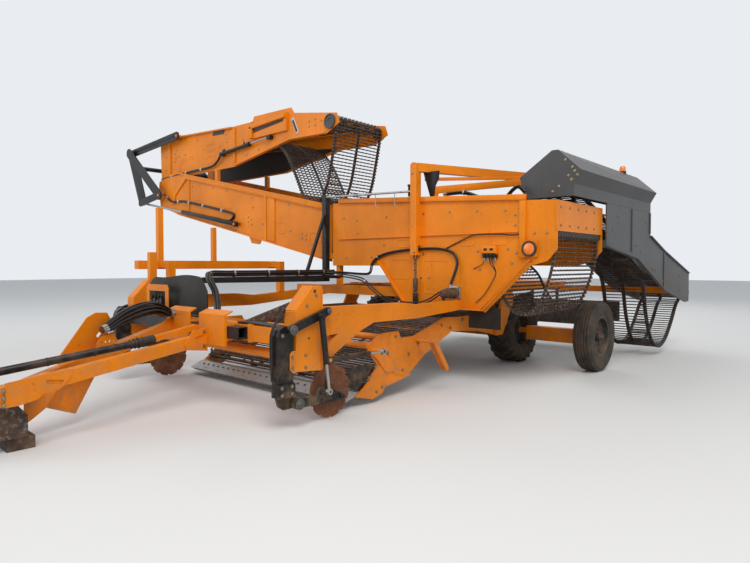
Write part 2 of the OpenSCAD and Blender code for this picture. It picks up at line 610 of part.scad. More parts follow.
second_path = [[640, 830], [-1300, 1020], [-1380, 980], [-1380, 900], [-1300, 880], [540, 690], [620, 730]];
module second_bed() color(rust) machine() {
    lay_y(960) {
        chain(second_path, 1920, 300, 1500, 400);
        bed([640, 830], [-1300, 1020], 1920);
        bed([-1300, 880], [540, 690], 1920);
    }
    for (s = [-1, 1]) mirror_y(s) {
        xz(990, 1010) polygon([[600, 650], [600, 900], [-1400, 1100], [-1400, 850]]);
        block([-60, 1010, 700], [60, 1030, 960]);
    }
    for (s = [60, 1900]) {
        p = under([640, 830], [-1300, 1020], s, 60);
        cross_bar(p[0], p[1], -1000, 1000, 60);
    }
}
cross_path = [[-1150, 800], [2160, 800], [2230, 740], [2230, 640], [2160, 580], [-1150, 580], [-1220, 640],
    [-1220, 740]];
module cross_conveyor() color(rust) machine() {
    lay_x(-2560) {
        chain(cross_path, 1060, 300, 3000, 600);
        bed([-1150, 800], [2160, 800], 1060);
        bed([2160, 580], [-1150, 580], 1060);
    }
    for (x = [-2600, -1490]) {
        block([x, -1240, 530], [x + 20, 2250, 900]);
        for (y = [-1060, 1000]) block([x, y - 30, 900], [x + 20, y + 30, rear_beam_z[0]]);
    }
    for (y = [-1000, 2000]) long_bar(y, 800 - strap_t / 2 - 30 - seat, -2600, -1470, 60);
}

// Side elevator
panel_t = 20;
elevator_in_y = elevator_left - elevator_w;
casing_front = 650;
casing_outline = [[casing_front, 2450], [-1300, 2450], [-1300, 2090], [-2110, 1860], [-3820, 1460],
    [-3820, 890],
    [-3550, 886], [-2150, 1146], [-630, 1690], [casing_front, 1840]];
module elevator_casing() color(grey) machine() {
    difference() {
        for (y = [elevator_in_y, elevator_left - panel_t]) xz(y, y + panel_t) polygon(casing_outline);
        block([-2565, elevator_in_y - 10, 1080], [-2435, elevator_in_y + 30, 1210]);
    }
    block([casing_front - 20, elevator_in_y, 1840], [casing_front, elevator_left, 1940]);
    block([-1300, elevator_in_y, 2430], [casing_front, 2500, 2450]);
    for (s = [60, 1400]) {
        p = under([-3600, 1010], [-2120, 1360], s, 50);
        cross_bar(p[0], p[1], elevator_in_y, elevator_left, 50);
    }
    for (s = [100, 1800]) {
        p = under([-550, 1920], [1300, 2560], s, 50);
        if (p[0] < casing_front) cross_bar(p[0], p[1], elevator_in_y, elevator_left, 50);
    }
    cross_bar(-3760, 1400, elevator_in_y, elevator_left, 50);
}
hood_x = [-1300, 1770];
hood_side = [[2500, 2450], [2420, 2740], [2860, hood_top], [2940, hood_top],
    [elevator_left + hood_bulge, 2760],
    [elevator_left, 2600], [elevator_left, 2450]];
module elevator_hood() color(grey) machine() {
    difference() {
        yz(hood_x[0], hood_x[1]) band(hood_side, -panel_t);
        // Room for the head of the elevator chain
        block([hood_x[0] - 1, elevator_in_y, 2400], [1540, 2560, 2620]);
    }
    for (x = hood_x) yz(x < 0 ? x : x - panel_t, x < 0 ? x + panel_t : x) polygon(hood_side);
}
elevator_path = [[-3600, 1010], [-2120, 1360], [-550, 1920], [1300, 2560], [1420, 2560], [1480, 2480],
    [1440, 2390],
    [1320, 2350], [-500, 1770], [-1250, 1480], [-1430, 1200], [-1560, 750], [-1860, 280], [-2300, 115],
    [-2750, 230], [-3150, 550], [-3420, 840], [-3640, 930]];
module elevator_chain() color(black) machine() lay_y(trough_left - wall_t - 20) {
    w = trough_left - wall_t - 40 - elevator_in_y - panel_t;
    chain(elevator_path, w, 8100, 12100, 130);
    bed([-3600, 1010], [-2120, 1360], w);
    bed([-2120, 1360], [-550, 1920], w);
    bed([-550, 1920], [1300, 2560], w);
    bed([1320, 2350], [-500, 1770], w);
}

// Wheels
module tyre(d, w, bead_d, y, ribs) machine() translate([0, y, axle_z]) rotate([90, 0, 0])
    rotate_extrude($fn = 64)
    polygon([[bead_d / 2, -w * 0.36], [bead_d / 2 + 20, -w * 0.42], [d * 0.40, -w / 2], [d * 0.45, -w * 0.49],
        [d / 2 - ribs, -w * 0.40], [d / 2, -w * 0.2], [d / 2, w * 0.2], [d / 2 - ribs, w * 0.40],
        [d * 0.45, w * 0.49], [d * 0.40, w / 2], [bead_d / 2 + 20, w * 0.42], [bead_d / 2, w * 0.36]]);
module rim(d, w, y, out) machine() translate([0, y, axle_z]) rotate([90, 0, 0]) rotate_extrude($fn = 64)
    polygon([[spindle_d / 2 + pin_play, -out * 90], [80, -out * 90], [80, -out * 10], [d / 2 - 25, -out * 30],
        [d / 2 - 25, -out * w * 0.36], [d / 2, -out * w * 0.36], [d / 2, out * w * 0.36],
            [d / 2 - 25, out * w * 0.36],
        [d / 2 - 25, out * 10], [80, out * 30], [80, out * 60], [spindle_d / 2 + pin_play, out * 60]]);
outrigger_rim_d = 600;
main_rim_d = 560;
module outrigger_tyre() color(rubber) tyre(outrigger_tyre_d, outrigger_tyre_w, outrigger_rim_d,
    outrigger_y, 12);
module outrigger_rim() color(grey) rim(outrigger_rim_d, outrigger_tyre_w, outrigger_y, 1);
lugs = 22;
lug_h = 34;
module lugged(y) {
    tyre(main_tyre_d - 2 * lug_h, main_tyre_w - 20, main_rim_d, y, 14);
    machine() translate([0, y, axle_z]) intersection() {
        rotate([90, 0, 0]) cylinder(d = main_tyre_d, h = main_tyre_w, center = true, $fn = 64);
        for (i = [0:lugs - 1], s = [-1, 1])
            rotate([0, (i + s / 4) * 360 / lugs, 0]) rotate([0, 0, s * 35])
                translate([-20, s > 0 ? 10 : -main_tyre_w * 0.48, main_tyre_d / 2 - lug_h - 30])
                    cube([40, main_tyre_w * 0.48 - 10, lug_h + 40]);
    }
}
module left_main_tyre() color(rubber) lugged(main_wheel_y);
module right_main_tyre() color(rubber) lugged(-main_wheel_y);
module left_main_rim() color(grey) rim(main_rim_d, main_tyre_w - 20, main_wheel_y, 1);
module right_main_rim() color(grey) rim(main_rim_d, main_tyre_w - 20, -main_wheel_y, -1);

// Tongue
play = seat;
jaw_t = 30;
near_jaw = [220, 730];
far_jaw = [-500, -10];
nose_x = hitch_x + hitch_nose;
jaw_x = toolbar_front + slide_t + play;
module jaw(y) {
    x0 = toolbar_front + 10;
    block([x0, y[0], slide_z[1] + play], [jaw_x + jaw_t, y[1], slide_z[1] + play + jaw_t]);
    block([x0, y[0], slide_z[0] - play - jaw_t], [jaw_x + jaw_t, y[1], slide_z[0] - play]);
    block([jaw_x, y[0], slide_z[0] - play - jaw_t - 60], [jaw_x + jaw_t, y[1], slide_z[1] + 120]);
    // Sloped cap on the carriage's top edge
    xz(y[0], y[1]) polygon([[jaw_x + 1, slide_z[1] + 110], [jaw_x - 80, slide_z[1] + 150],
        [jaw_x - 74, slide_z[1] + 162],
        [jaw_x + jaw_t, slide_z[1] + 119]]);
}
// Two beams that meet over the hitch, and the upright plates welded to them
beam_w = 100;
beam_h = 125;
near_beam = [[jaw_x + 20, 309, slide_z[0] - 36], [hitch_x - 140, hitch_y + 223, 531]];
far_beam = [[jaw_x + 20, -450, slide_z[0] + 52], [hitch_x - 250, hitch_y - 22, 480]];
// Plate drawn from the start of line p to q, t thick, its near face off mm to the left of the line
module beside(p, q, off, t) translate([p[0], p[1], 0]) rotate([0, 0, atan2(q[1] - p[1], q[0] - p[0])])
    xz(off - t, off) children();
module slot(at, l, d, turn) translate(at) rotate(turn) {
    square([l - d, d], center = true);
    for (e = [-1, 1]) translate([e * (l - d) / 2, 0]) circle(d = d);
}
head_top = 560;
// Level distance that a beam covers
function reach(b) = norm([b[1][0] - b[0][0], b[1][1] - b[0][1]]);
far_run = far_beam[1] - far_beam[0];
function far_bottom(x) = far_beam[0][2] + (x - far_beam[0][0]) * far_run[2] / far_run[0] - beam_h / 2 - 3;
module drawbar() color(orange) machine() difference() {
    union() {
        for (y = [near_jaw, far_jaw]) jaw(y);
        block([jaw_x + 4, far_jaw[0] + 20, slide_z[0] + 10], [jaw_x + 16, near_jaw[1] - 20, slide_z[1] - 20]);
        beam(near_beam[0], near_beam[1], beam_w, beam_h);
        beam(far_beam[0], far_beam[1], beam_w, beam_h - 3);
        beside(near_beam[0], near_beam[1], beam_w / 2 + 12, 14) difference() {
            polygon([[308, 737], [193, 884], [2, 900], [2, 640], [271, 677]]);
            slot([110, 800], 120, 34, -10);
        }
        beside(near_beam[0], near_beam[1], beam_w / 2 + 12, 14) translate([reach(near_beam), 0])
            difference() {
            polygon([[-19, 428], [-19, 630], [-539, 672], [-566, 655], [-552, 592], [-461, 503],
                [-319, 490], [-272, 450],
                [-121, 426]]);
            slot([-417, 576], 150, 34, 10);
        }
        beside(far_beam[0], far_beam[1], beam_w / 2 + 10, 12)
            polygon([[407, 759], [379, 857], [2, 1000], [2, 800], [300, 745]]);
        // Pierced plate for the hoses, on the far beam
        beside(far_beam[0], far_beam[1], beam_w / 2 + 6, 8) difference() {
            polygon([[900, 660], [900, 800], [960, 900], [1130, 860], [1180, 790], [1180, 600]]);
            for (x = [950:55:1140], z = [760:45:840]) translate([x, z]) circle(d = 22);
        }
        // Head over the hitch, and the short brace between the carriages
        block([hitch_x - 252, hitch_y - 80, 426], [hitch_x - 130, hitch_y + 236, head_top]);
        beam([jaw_x + 10, 90, slide_z[0] + 72], [5610, 100, 800], 80, 60);
    }
    block([toolbar_front, -3000, slide_z[0] - play], [jaw_x, 3000, slide_z[1] + play]);
}
module deflectors() color(orange) machine() {
    beside(far_beam[0], far_beam[1], -beam_w / 2 - seat, 10) translate([reach(far_beam), 0]) difference() {
        polygon([[-597, 729], [-917, 1064], [-1030, 1107], [-1185, 1095], [-1234, 1020], [-1222, 911],
            [-1120, 782],
            [-998, 431], [-765, 115], [-443, 251]]);
        slot([-1099, 900], 150, 34, -40);
    }
    // Lower plate under the far beam, its top edge along the beam
    rear = hitch_x - 685;
    front = hitch_x - 425;
    xz(hitch_y - 166, hitch_y - 156) polygon([[rear, far_bottom(rear)], [front, far_bottom(front)],
        [front + 6, 141],
        [front - 88, 203], [rear + 75, 274], [rear - 25, 444]]);
}
clevis_w = 100;
ear_t = 60;
module hitch_clevis() color(rust) machine() difference() {
    union() {
        block([hitch_x - 380, hitch_y - clevis_w, block_h], [hitch_x - 60, hitch_y + clevis_w, 400]);
        block([hitch_x - 225, hitch_y - clevis_w + 20, 399], [hitch_x - 132, hitch_y + clevis_w - 20, 426]);
        for (z = [block_h, block_h + 150]) {
            block([hitch_x - 61, hitch_y - clevis_w + 20, z],
                [hitch_x + 40, hitch_y + clevis_w - 20, z + ear_t]);
            translate([hitch_x + 50, hitch_y, z]) cylinder(r = clevis_w - 20, h = ear_t);
        }
    }
    translate([hitch_x, hitch_y, 0]) cylinder(d = hitch_bore_d, h = 600);
    xz(hitch_y - clevis_w - 1, hitch_y + clevis_w + 1) polygon([[hitch_x - 381, 401], [hitch_x - 381, 300],
        [hitch_x - 300, 401]]);
}
module hitch_block() color(rust) machine() {
    block([hitch_x - 440, hitch_y - 230, 0], [hitch_x - 220, hitch_y + 90, block_h]);
}
// Drive shaft under its tube guard, with the cone of its rear joint and its rest on the head
shaft_d = 75;
shaft = [[5860, 250, 790], [hitch_x - 60, 250, 648]];
function shaft_z(x) = shaft[0][2] + (x - shaft[0][0]) * (shaft[1][2] - shaft[0][2]) / (shaft[1][0] - shaft[0][0]);
module drive_shaft() color(black) machine() {
    bar(shaft[0], shaft[1], shaft_d);
    along(shaft[0] + (shaft[0] - shaft[1]) * 0.12, shaft[1]) cylinder(d1 = 120, d2 = 96, h = 175);
    block([hitch_x - 200, 225, head_top + seat], [hitch_x - 180, 275, shaft_z(hitch_x - 190) - 20]);
    block([hitch_x - 200, 225, head_top + seat], [hitch_x - 180, 360, head_top + 30]);
}

// Hoses from the pierced plate over the far beam, up and back to the top of the far jaw
tongue_route = [[6120, 8, 922], [6040, -20, 942], [5940, -60, 990], [5780, -120, 1045], [5580, -210, 1080],
    [5400, -285, 1075], [5290, -325, 1040], [5235, -330, 1022], [5190, -330, 1022],
    [jaw_x + jaw_t + seat, -330, 1022]];
module tongue_hoses() color(rubber) machine() hose(tongue_route, bundle_d, [0, 0, 1]);

// Lower boom section: side panels in the (Y, Z) plane, rising to the right side of the machine
boom_slope = tan(boom_rise);
boom_root = -830;
boom_end = boom_root - lower_len * cos(boom_rise);
boom_top_z = 2595;
boom_panel_h = boom_h / cos(boom_rise);
panel_in = [55, 35];
fold_y = -6600;
fold_z = 3450;
fold_pin_d = 70;
arm_at = [-6370, 3200];
elbow_at = [elbow_y, 4340];
link_at = [-5700, 4460];
rod_eye = [-7260, 3080];
barrel_at = [-3450, 2400];
function boom_top(y) = boom_top_z + (boom_root - y) * boom_slope;
function boom_bottom(y) = boom_top(y) - boom_panel_h;
// Both sides of the boom, the second mirrored over its middle
module both_sides() for (s = [0, 1]) translate([trough_front - trough_w / 2, 0, 0]) mirror([s, 0, 0])
    translate([-trough_front + trough_w / 2, 0, 0]) children();
module lower_panel() difference() {
    union() {
        polygon([[boom_root, boom_bottom(boom_root)], [boom_root, boom_top(boom_root)],
            [boom_end, boom_top(boom_end)],
            [fold_y - 60, fold_z + 90], [fold_y - 80, fold_z - 80], [-6610, 2960], [boom_end - 100, 2800],
            [boom_end + 100, boom_bottom(boom_end + 100)]]);
        translate([hinge_y, hinge_z]) circle(d = hinge_ear_d);
    }
    translate([hinge_y, hinge_z]) circle(d = hinge_pin_d + pin_play);
    translate([fold_y, fold_z]) circle(d = fold_pin_d + pin_play);
}
module boom_flange(y0, y1, f0, f1) yz(trough_front - 35, trough_front) polygon([[y0, boom_bottom(y0) + f0],
    [y1, boom_bottom(y1) + f0], [y1, boom_bottom(y1) + f1], [y0, boom_bottom(y0) + f1]]);
module lower_boom() color(orange) machine() {
    both_sides() {
        yz(trough_front - 55, trough_front - 35) lower_panel();
        boom_flange(-1050, boom_end + 120, 0, 30);
        boom_flange(-1050, boom_end, boom_panel_h - 30, boom_panel_h);
        boom_flange(-2560, -2630, 0, boom_panel_h);
        long_bar(arm_at[0], arm_at[1], trough_front - 40, trough_front + 160, 60);
        long_bar(barrel_at[0], barrel_at[1], trough_front - 40, trough_front + 110, 50);
        block([trough_front - 125, -4350, boom_top(-4250) - 60], [trough_front - 55, -4250, 3565]);
    }
    for (s = [60, 1700, 3400, 5200]) {
        p = under([-980, 1830], [-6200, 2963], s, 60);
        long_bar(p[0], p[1], trough_rear + 40, trough_front - 40, 60);
    }
}
lower_chain_in = 175;
lower_path = [[-980, 1830], [-6200, 2963], [-6270, 2930], [-6270, 2880], [-6200, 2855], [-980, 1722],
    [-930, 1750], [-930, 1800]];
module lower_boom_chain() color(rust) machine() lay_x(trough_rear + 75) {
    w = trough_w - 150;
    chain(lower_path, w, 300, 5000, 500);
    bed([-980, 1830], [-6200, 2963], w);
    bed([-6200, 2855], [-980, 1722], w);
}

// Upper boom section, folded over the lower one with its bed on top
upper_in = 105;
module upper_panel() difference() {
    union() {
        polygon([[-6680, 3560], [-6720, 4550], [-3770, 4370], [-3100, 4360], [-3050, 4450], [-1950, 4420],
            [-1870, 4310],
            [-780, 4120], [-720, 3950], [-1030, 3810], [-1930, 3840], [-3660, 3570], [-6480, 3570]]);
        translate([fold_y, fold_z]) circle(d = 160);
        translate([fold_y - 80, fold_z]) square([160, 200]);
    }
    translate([fold_y, fold_z]) circle(d = fold_pin_d - 10);
}
module upper_boom() color(orange) machine() {
    both_sides() {
        yz(trough_front - upper_in - 20, trough_front - upper_in) upper_panel();
        // Flanges along the panel's edges, and the open box on its side
        yz(trough_front - upper_in - 1, trough_front - 60) {
            polygon([[-6715, 4540], [-3780, 4368], [-3780, 4338], [-6715, 4510]]);
            polygon([[-3650, 3575], [-1930, 3845], [-1035, 3815], [-1035, 3845], [-1930, 3875],
                [-3650, 3605]]);
            for (y = [-3095, -2045]) polygon([[y, 4020], [y + 15, 4020], [y + 15, 4350], [y, 4350]]);
            polygon([[-3095, 4020], [-2030, 4020], [-2030, 4035], [-3095, 4035]]);
        }
        yz(trough_front - 68, trough_front - 60) polygon([[-3095, 4020], [-2030, 4020], [-2030, 4320],
            [-3095, 4290]]);
        long_bar(fold_y, fold_z, trough_front - upper_in - 20, trough_front - 20, fold_pin_d);
        long_bar(link_at[0], link_at[1], trough_front - upper_in, trough_front + 65, 60);
    }
    for (s = [60, 1400, 2700]) {
        p = under([-6560, 4440], [-3770, 4290], s, 50);
        long_bar(p[0], p[1], trough_rear + upper_in, trough_front - upper_in, 50);
    }
    for (s = [1300, 2760]) {
        p = under([-3770, 4290], [-1000, 4110], s, 50);
        long_bar(p[0], p[1], trough_rear + upper_in, trough_front - upper_in, 50);
    }
}
upper_path = [[-6560, 4440], [-3770, 4290], [-1000, 4110], [-850, 4060], [-830, 3960], [-930, 3500],
    [-1050, 3000],
    [-1220, 2720], [-1450, 2660], [-1700, 2800], [-1900, 3200], [-2200, 3700], [-2700, 3990],
        [-3770, 4100], [-6560, 4280],
    [-6620, 4360]];
module upper_boom_chain() color(rust) machine() lay_x(trough_rear + upper_in + 40) {
    w = trough_w - 2 * upper_in - 80;
    chain(upper_path, w, 5500, 8600, 130);
    bed([-6560, 4440], [-3770, 4290], w);
    bed([-3770, 4290], [-1000, 4110], w);
    bed([-3770, 4100], [-6560, 4280], w);
}
module upper_boom_lining() color(rubber) machine() {
    for (x = [trough_rear + upper_in + 20, trough_front - upper_in - 28]) yz(x, x + 8)
        polygon([[-6400, 3600], [-6400, 4230], [-3770, 4060], [-2000, 3880], [-3650, 3600]]);
}

// Folding linkage
module plate_link(p, q, d) {
    u = (q - p) / norm(q - p);
    n = turn90(u) * d / 2;
    translate(p) circle(d = d);
    translate(q) circle(d = d);
    polygon([p + n, q + n, q - n, p - n]);
}
module fold_arm() color(black) machine() {
    both_sides() difference() {
        yz(trough_front + 120, trough_front + 150) {
            plate_link(arm_at, elbow_at, 2 * elbow_r);
            plate_link(arm_at, rod_eye, 160);
            plate_link(rod_eye, elbow_at, 100);
        }
        long_bar(arm_at[0], arm_at[1], trough_front, trough_front + 200, 60 + pin_play);
    }
    // Bosses that end just before the rod's eye and the link's eye, and the tube between both arms
    both_sides() {
        long_bar(rod_eye[0], rod_eye[1], trough_front + 96, trough_front + 130, 50);
        long_bar(elbow_at[0], elbow_at[1], trough_front + 65, trough_front + 130, 100);
    }
    tube = elbow_at + (arm_at - elbow_at) / norm(arm_at - elbow_at) * 700;
    long_bar(tube[0], tube[1], trough_rear - 150, trough_front + 150, 100);
}
module fold_link() color(orange) machine() both_sides() difference() {
    yz(trough_front + 30, trough_front + 60) plate_link(elbow_at, link_at, 180);
    long_bar(elbow_at[0], elbow_at[1], trough_front, trough_front + 200, 70);
    long_bar(link_at[0], link_at[1], trough_front, trough_front + 200, 60 + pin_play);
}
cylinder_x = trough_front + 60;
module fold_cylinder() color(black) machine() both_sides() {
    p = [cylinder_x, barrel_at[0], barrel_at[1]];
    q = [cylinder_x, rod_eye[0], rod_eye[1]];
    u = (q - p) / norm(q - p);
    difference() {
        union() {
            bar(p + u * 50, p + u * 2030, 90);
            long_bar(p[1], p[2], cylinder_x - 30, cylinder_x + 30, 110);
        }
        long_bar(p[1], p[2], cylinder_x - 60, cylinder_x + 60, 50 + pin_play);
        bar(p + u * 90, p + u * 2100, 50 + 2 * seat);
    }
}
module fold_cylinder_rod() color(steel) machine() both_sides() {
    p = [cylinder_x, barrel_at[0], barrel_at[1]];
    q = [cylinder_x, rod_eye[0], rod_eye[1]];
    u = (q - p) / norm(q - p);
    difference() {
        union() {
            bar(p + u * 1850, q, 50);
            long_bar(q[1], q[2], cylinder_x - 30, cylinder_x + 30, 100);
        }
        long_bar(q[1], q[2], cylinder_x - 60, cylinder_x + 60, 50 + pin_play);
    }
}

main_frame();
axle_beam();
toolbar();
masts();
coulter_legs();
slide_bar();
right_frame();
trough();
trough_chain();
gantry();
black_frame();
chain_motor();
valve_block();
lamps();
rubber_flaps();
hoses();
elevator_casing();
elevator_hood();
elevator_chain();
cross_conveyor();
second_bed();
digger_frame();
digger_chain();
blade();
lift_cylinders();
lift_rods();
left_coulter_arm();
left_disc();
left_coulter_cylinder();
left_coulter_rod();
right_coulter_arm();
right_disc();
right_coulter_cylinder();
right_coulter_rod();
outrigger_tyre();
outrigger_rim();
left_main_tyre();
left_main_rim();
right_main_tyre();
right_main_rim();
drawbar();
deflectors();
hitch_clevis();
hitch_block();
drive_shaft();
tongue_hoses();
lower_boom();
lower_boom_chain();
upper_boom();
upper_boom_chain();
upper_boom_lining();
fold_arm();
fold_link();
fold_cylinder();
fold_cylinder_rod();
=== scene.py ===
"""Looks of a towed potato harvester: chains, tyres, hoses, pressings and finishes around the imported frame."""

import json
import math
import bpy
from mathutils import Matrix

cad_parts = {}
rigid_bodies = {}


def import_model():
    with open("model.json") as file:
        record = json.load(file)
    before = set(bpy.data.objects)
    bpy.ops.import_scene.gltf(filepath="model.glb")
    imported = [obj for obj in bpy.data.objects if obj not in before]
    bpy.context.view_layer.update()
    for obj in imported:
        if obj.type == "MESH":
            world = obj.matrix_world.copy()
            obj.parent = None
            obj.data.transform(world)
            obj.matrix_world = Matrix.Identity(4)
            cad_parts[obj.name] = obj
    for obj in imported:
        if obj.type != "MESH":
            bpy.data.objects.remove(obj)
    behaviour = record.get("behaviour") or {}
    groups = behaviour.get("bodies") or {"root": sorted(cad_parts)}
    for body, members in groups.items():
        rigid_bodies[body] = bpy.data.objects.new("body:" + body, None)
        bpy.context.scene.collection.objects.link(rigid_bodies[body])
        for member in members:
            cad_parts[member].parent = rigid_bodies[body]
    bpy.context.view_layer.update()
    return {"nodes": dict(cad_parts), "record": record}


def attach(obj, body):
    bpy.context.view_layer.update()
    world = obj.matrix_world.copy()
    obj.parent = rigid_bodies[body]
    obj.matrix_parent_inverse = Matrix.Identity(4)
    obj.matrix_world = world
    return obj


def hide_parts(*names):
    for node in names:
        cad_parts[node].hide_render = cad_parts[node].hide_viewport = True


bl_info = {
    "name": "Potato Harvester",
    "version": (1, 0, 0),
    "blender": (4, 5, 0),
    "location": "View3D > Sidebar > Harvester",
    "description": "Dresses the packed frame of a towed potato harvester",
    "category": "Object",
}

import bmesh
import bpy
from mathutils import Matrix, Vector

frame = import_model()
NODES = frame["nodes"]

# The machine's own axes have their origin under the axle's middle, this far from the frame's origin
MACHINE = Vector((-1.745, 2.355, 0.0))
X, Y, Z, DOWN = (1, 0, 0), (0, 1, 0), (0, 0, 1), (0, 0, -1)
AXLE_Z = 0.53
TROUGH_X = 2.1  # front face of the trough
SEAM = 0.00002  # corners of a carried-over solid closer than this are one
CAD_BEVEL = 0.004
CAD_BEVEL_ANGLE = 40
BEVEL_ANGLE = 35
SMOOTH_ANGLE = 40


# Sizes and colours


class HarvesterFinish(bpy.types.PropertyGroup):
    """Colours of the paint, steel, rubber and dust"""

    orange: bpy.props.FloatVectorProperty(
        name="Orange", description="Main paint", subtype="COLOR", size=3,
        default=(0.80, 0.222, 0.002), min=0, max=1)
    grey: bpy.props.FloatVectorProperty(
        name="Dark grey", description="Paint of hood and side elevator", subtype="COLOR", size=3,
        default=(0.073, 0.073, 0.074), min=0, max=1)
    black: bpy.props.FloatVectorProperty(
        name="Black", description="Paint of legs, cylinders and arms", subtype="COLOR", size=3,
        default=(0.012, 0.012, 0.013), min=0, max=1)
    rust: bpy.props.FloatVectorProperty(
        name="Rust", description="Brown of rods and castings", subtype="COLOR", size=3,
        default=(0.075, 0.040, 0.024), min=0, max=1)
    steel: bpy.props.FloatVectorProperty(
        name="Steel", description="Worn bright steel", subtype="COLOR", size=3,
        default=(0.42, 0.41, 0.39), min=0, max=1)
    rubber: bpy.props.FloatVectorProperty(
        name="Rubber", description="Tyres, flaps and straps", subtype="COLOR", size=3,
        default=(0.022, 0.021, 0.020), min=0, max=1)
    dust: bpy.props.FloatVectorProperty(
        name="Dust", description="Dried soil on low surfaces", subtype="COLOR", size=3,
        default=(0.30, 0.19, 0.11), min=0, max=1)


class HarvesterSizes(bpy.types.PropertyGroup):
    """Sizes of what repeats"""

    rod_d: bpy.props.FloatProperty(
        name="Rod", description="Diameter of a chain rod", default=0.019, min=0.008, max=0.026, unit="LENGTH")
    rod_pitch: bpy.props.FloatProperty(
        name="Rod pitch", description="Distance between two rods", default=0.056, min=0.04, max=0.1, unit="LENGTH")
    bolt_d: bpy.props.FloatProperty(
        name="Bolt", description="Width of a bolt head", default=0.023, min=0.01, max=0.04, unit="LENGTH")


# Materials

# Finish of each slot of the solids, and the slot of each finish
SLOT_FINISH = {
    "orange_paint": "orange enamel",
    "dark_grey_paint": "grey enamel",
    "black_paint": "black enamel",
    "rusty_steel": "rusty rods",
    "black_chain": "dark rods",
    "rusty_block": "rusty casting",
    "bare_steel": "worn steel",
    "lamp_lens": "orange lens",
    "black_rubber": "black rubber",
    "tyre_rubber": "tyre rubber",
    "rim_paint": "rim paint",
}
FINISH_SLOT = {finish: slot for slot, finish in SLOT_FINISH.items()}
FINISH_SLOT |= dict.fromkeys(("scoured steel", "chrome", "zinc bolts", "white clip"), "bare_steel")
FINISH_SLOT |= {"rusty disc": "rusty_block", "hose rubber": "black_rubber", "curtain rubber": "black_rubber"}
OWN_FINISH = {"left_disc": "rusty disc", "right_disc": "rusty disc", "fold_link": "black enamel"}
EASED_SLOTS = ("orange_paint", "dark_grey_paint", "black_paint", "rusty_block")

MATERIALS = {}


def new_material(name):
    material = bpy.data.materials.new(name)
    material.use_nodes = True
    material.node_tree.nodes.clear()
    return material


def tone(colour, *shares):
    """The colour times one share, or times a share for each of its three values."""
    return tuple(c * share for c, share in zip(colour, shares * 3))


class Graph:
    """Short calls that add nodes to a tree."""

    def __init__(self, tree):
        self.tree = tree

    def node(self, kind, values=None, **settings):
        """A node's outputs; its inputs take values or the outputs of others."""
        node = self.tree.nodes.new(kind)
        for key, value in settings.items():
            setattr(node, key, value)
        for key, value in (values or {}).items():
            self.give(node.inputs[key], value)
        return node.outputs

    def give(self, socket, value):
        if isinstance(value, bpy.types.NodeSocket):
            self.tree.links.new(value, socket)
        else:
            socket.default_value = value

    def math(self, kind, a, b):
        return self.node("ShaderNodeMath", {0: a, 1: b}, operation=kind)["Value"]


class Shade(Graph):
    """One material: its shader and what feeds it."""

    def __init__(self, name):
        MATERIALS[name] = new_material(name)
        super().__init__(MATERIALS[name].node_tree)
        self.shader = self.tree.nodes.new("ShaderNodeBsdfPrincipled")
        self.node("ShaderNodeOutputMaterial", {"Surface": self.shader.outputs["BSDF"]})
        self.coords = self.node("ShaderNodeTexCoord")["Object"]

    def set(self, **values):
        for key, value in values.items():
            self.give(self.shader.inputs[key.replace("_", " ")], (*value, 1) if isinstance(value, tuple) else value)

    def noise(self, scale, detail=4, rough=0.55, stretch=None):
        vector = self.coords
        if stretch:
            vector = self.node("ShaderNodeMapping", {"Vector": vector, "Scale": stretch})["Vector"]
        values = {"Vector": vector, "Scale": scale, "Detail": detail, "Roughness": rough}
        return self.node("ShaderNodeTexNoise", values)["Fac"]

    def ramp(self, value, low, high, out_low=0.0, out_high=1.0):
        values = {"Value": value, "From Min": low, "From Max": high, "To Min": out_low, "To Max": out_high}
        return self.node("ShaderNodeMapRange", values)["Result"]

    def mix(self, factor, a, b):
        a, b = ((*c, 1) if isinstance(c, tuple) else c for c in (a, b))
        # The colour sockets of the node that mixes numbers, vectors or colours
        return self.node("ShaderNodeMix", {0: factor, 6: a, 7: b}, data_type="RGBA")[2]

    def z(self, vector):
        return self.node("ShaderNodeSeparateXYZ", {"Vector": vector})["Z"]

    def bump(self, height, strength, distance):
        values = {"Height": height, "Strength": strength, "Distance": distance}
        self.set(Normal=self.node("ShaderNodeBump", values)["Normal"])


def paint(name, colour, dust, rust, rough=0.38, wear=0.5, dust_top=1.3):
    """Enamel with faded patches, dust on upward faces and near the ground, and rusty chips."""
    s = Shade(name)
    fade = s.ramp(s.noise(1.3, 5), 0.35, 0.7)
    base = s.mix(fade, tone(colour, 0.82), tuple(min(1, c * 1.08 + 0.004) for c in colour))
    streaks = s.ramp(s.noise(3.0, 6, 0.6, (5, 5, 0.35)), 0.55, 0.78, 0, 0.35)
    base = s.mix(streaks, base, tone(colour, 0.62))
    low = s.ramp(s.z(s.coords), dust_top, 0.05, 0.03, 0.62)
    patch = s.ramp(s.noise(7.0, 6, 0.65), 0.42, 0.66)
    flat = s.ramp(s.z(s.node("ShaderNodeNewGeometry")["Normal"]), 0.4, 0.95, 0.0, 0.22)
    soil = s.math("MINIMUM", s.math("MULTIPLY", s.math("ADD", low, flat), patch), 0.85)
    chips = s.math("MULTIPLY", s.ramp(s.noise(38.0, 3, 0.6), 0.66, 0.7), wear)
    s.set(Base_Color=s.mix(chips, s.mix(soil, base, dust), rust), Metallic=0.0, Specular_IOR_Level=0.2,
          Roughness=s.ramp(s.math("ADD", soil, chips), 0, 1, rough, 0.9), Coat_Weight=0.03, Coat_Roughness=0.25)
    s.bump(s.noise(60.0, 3), 0.05, 0.002)


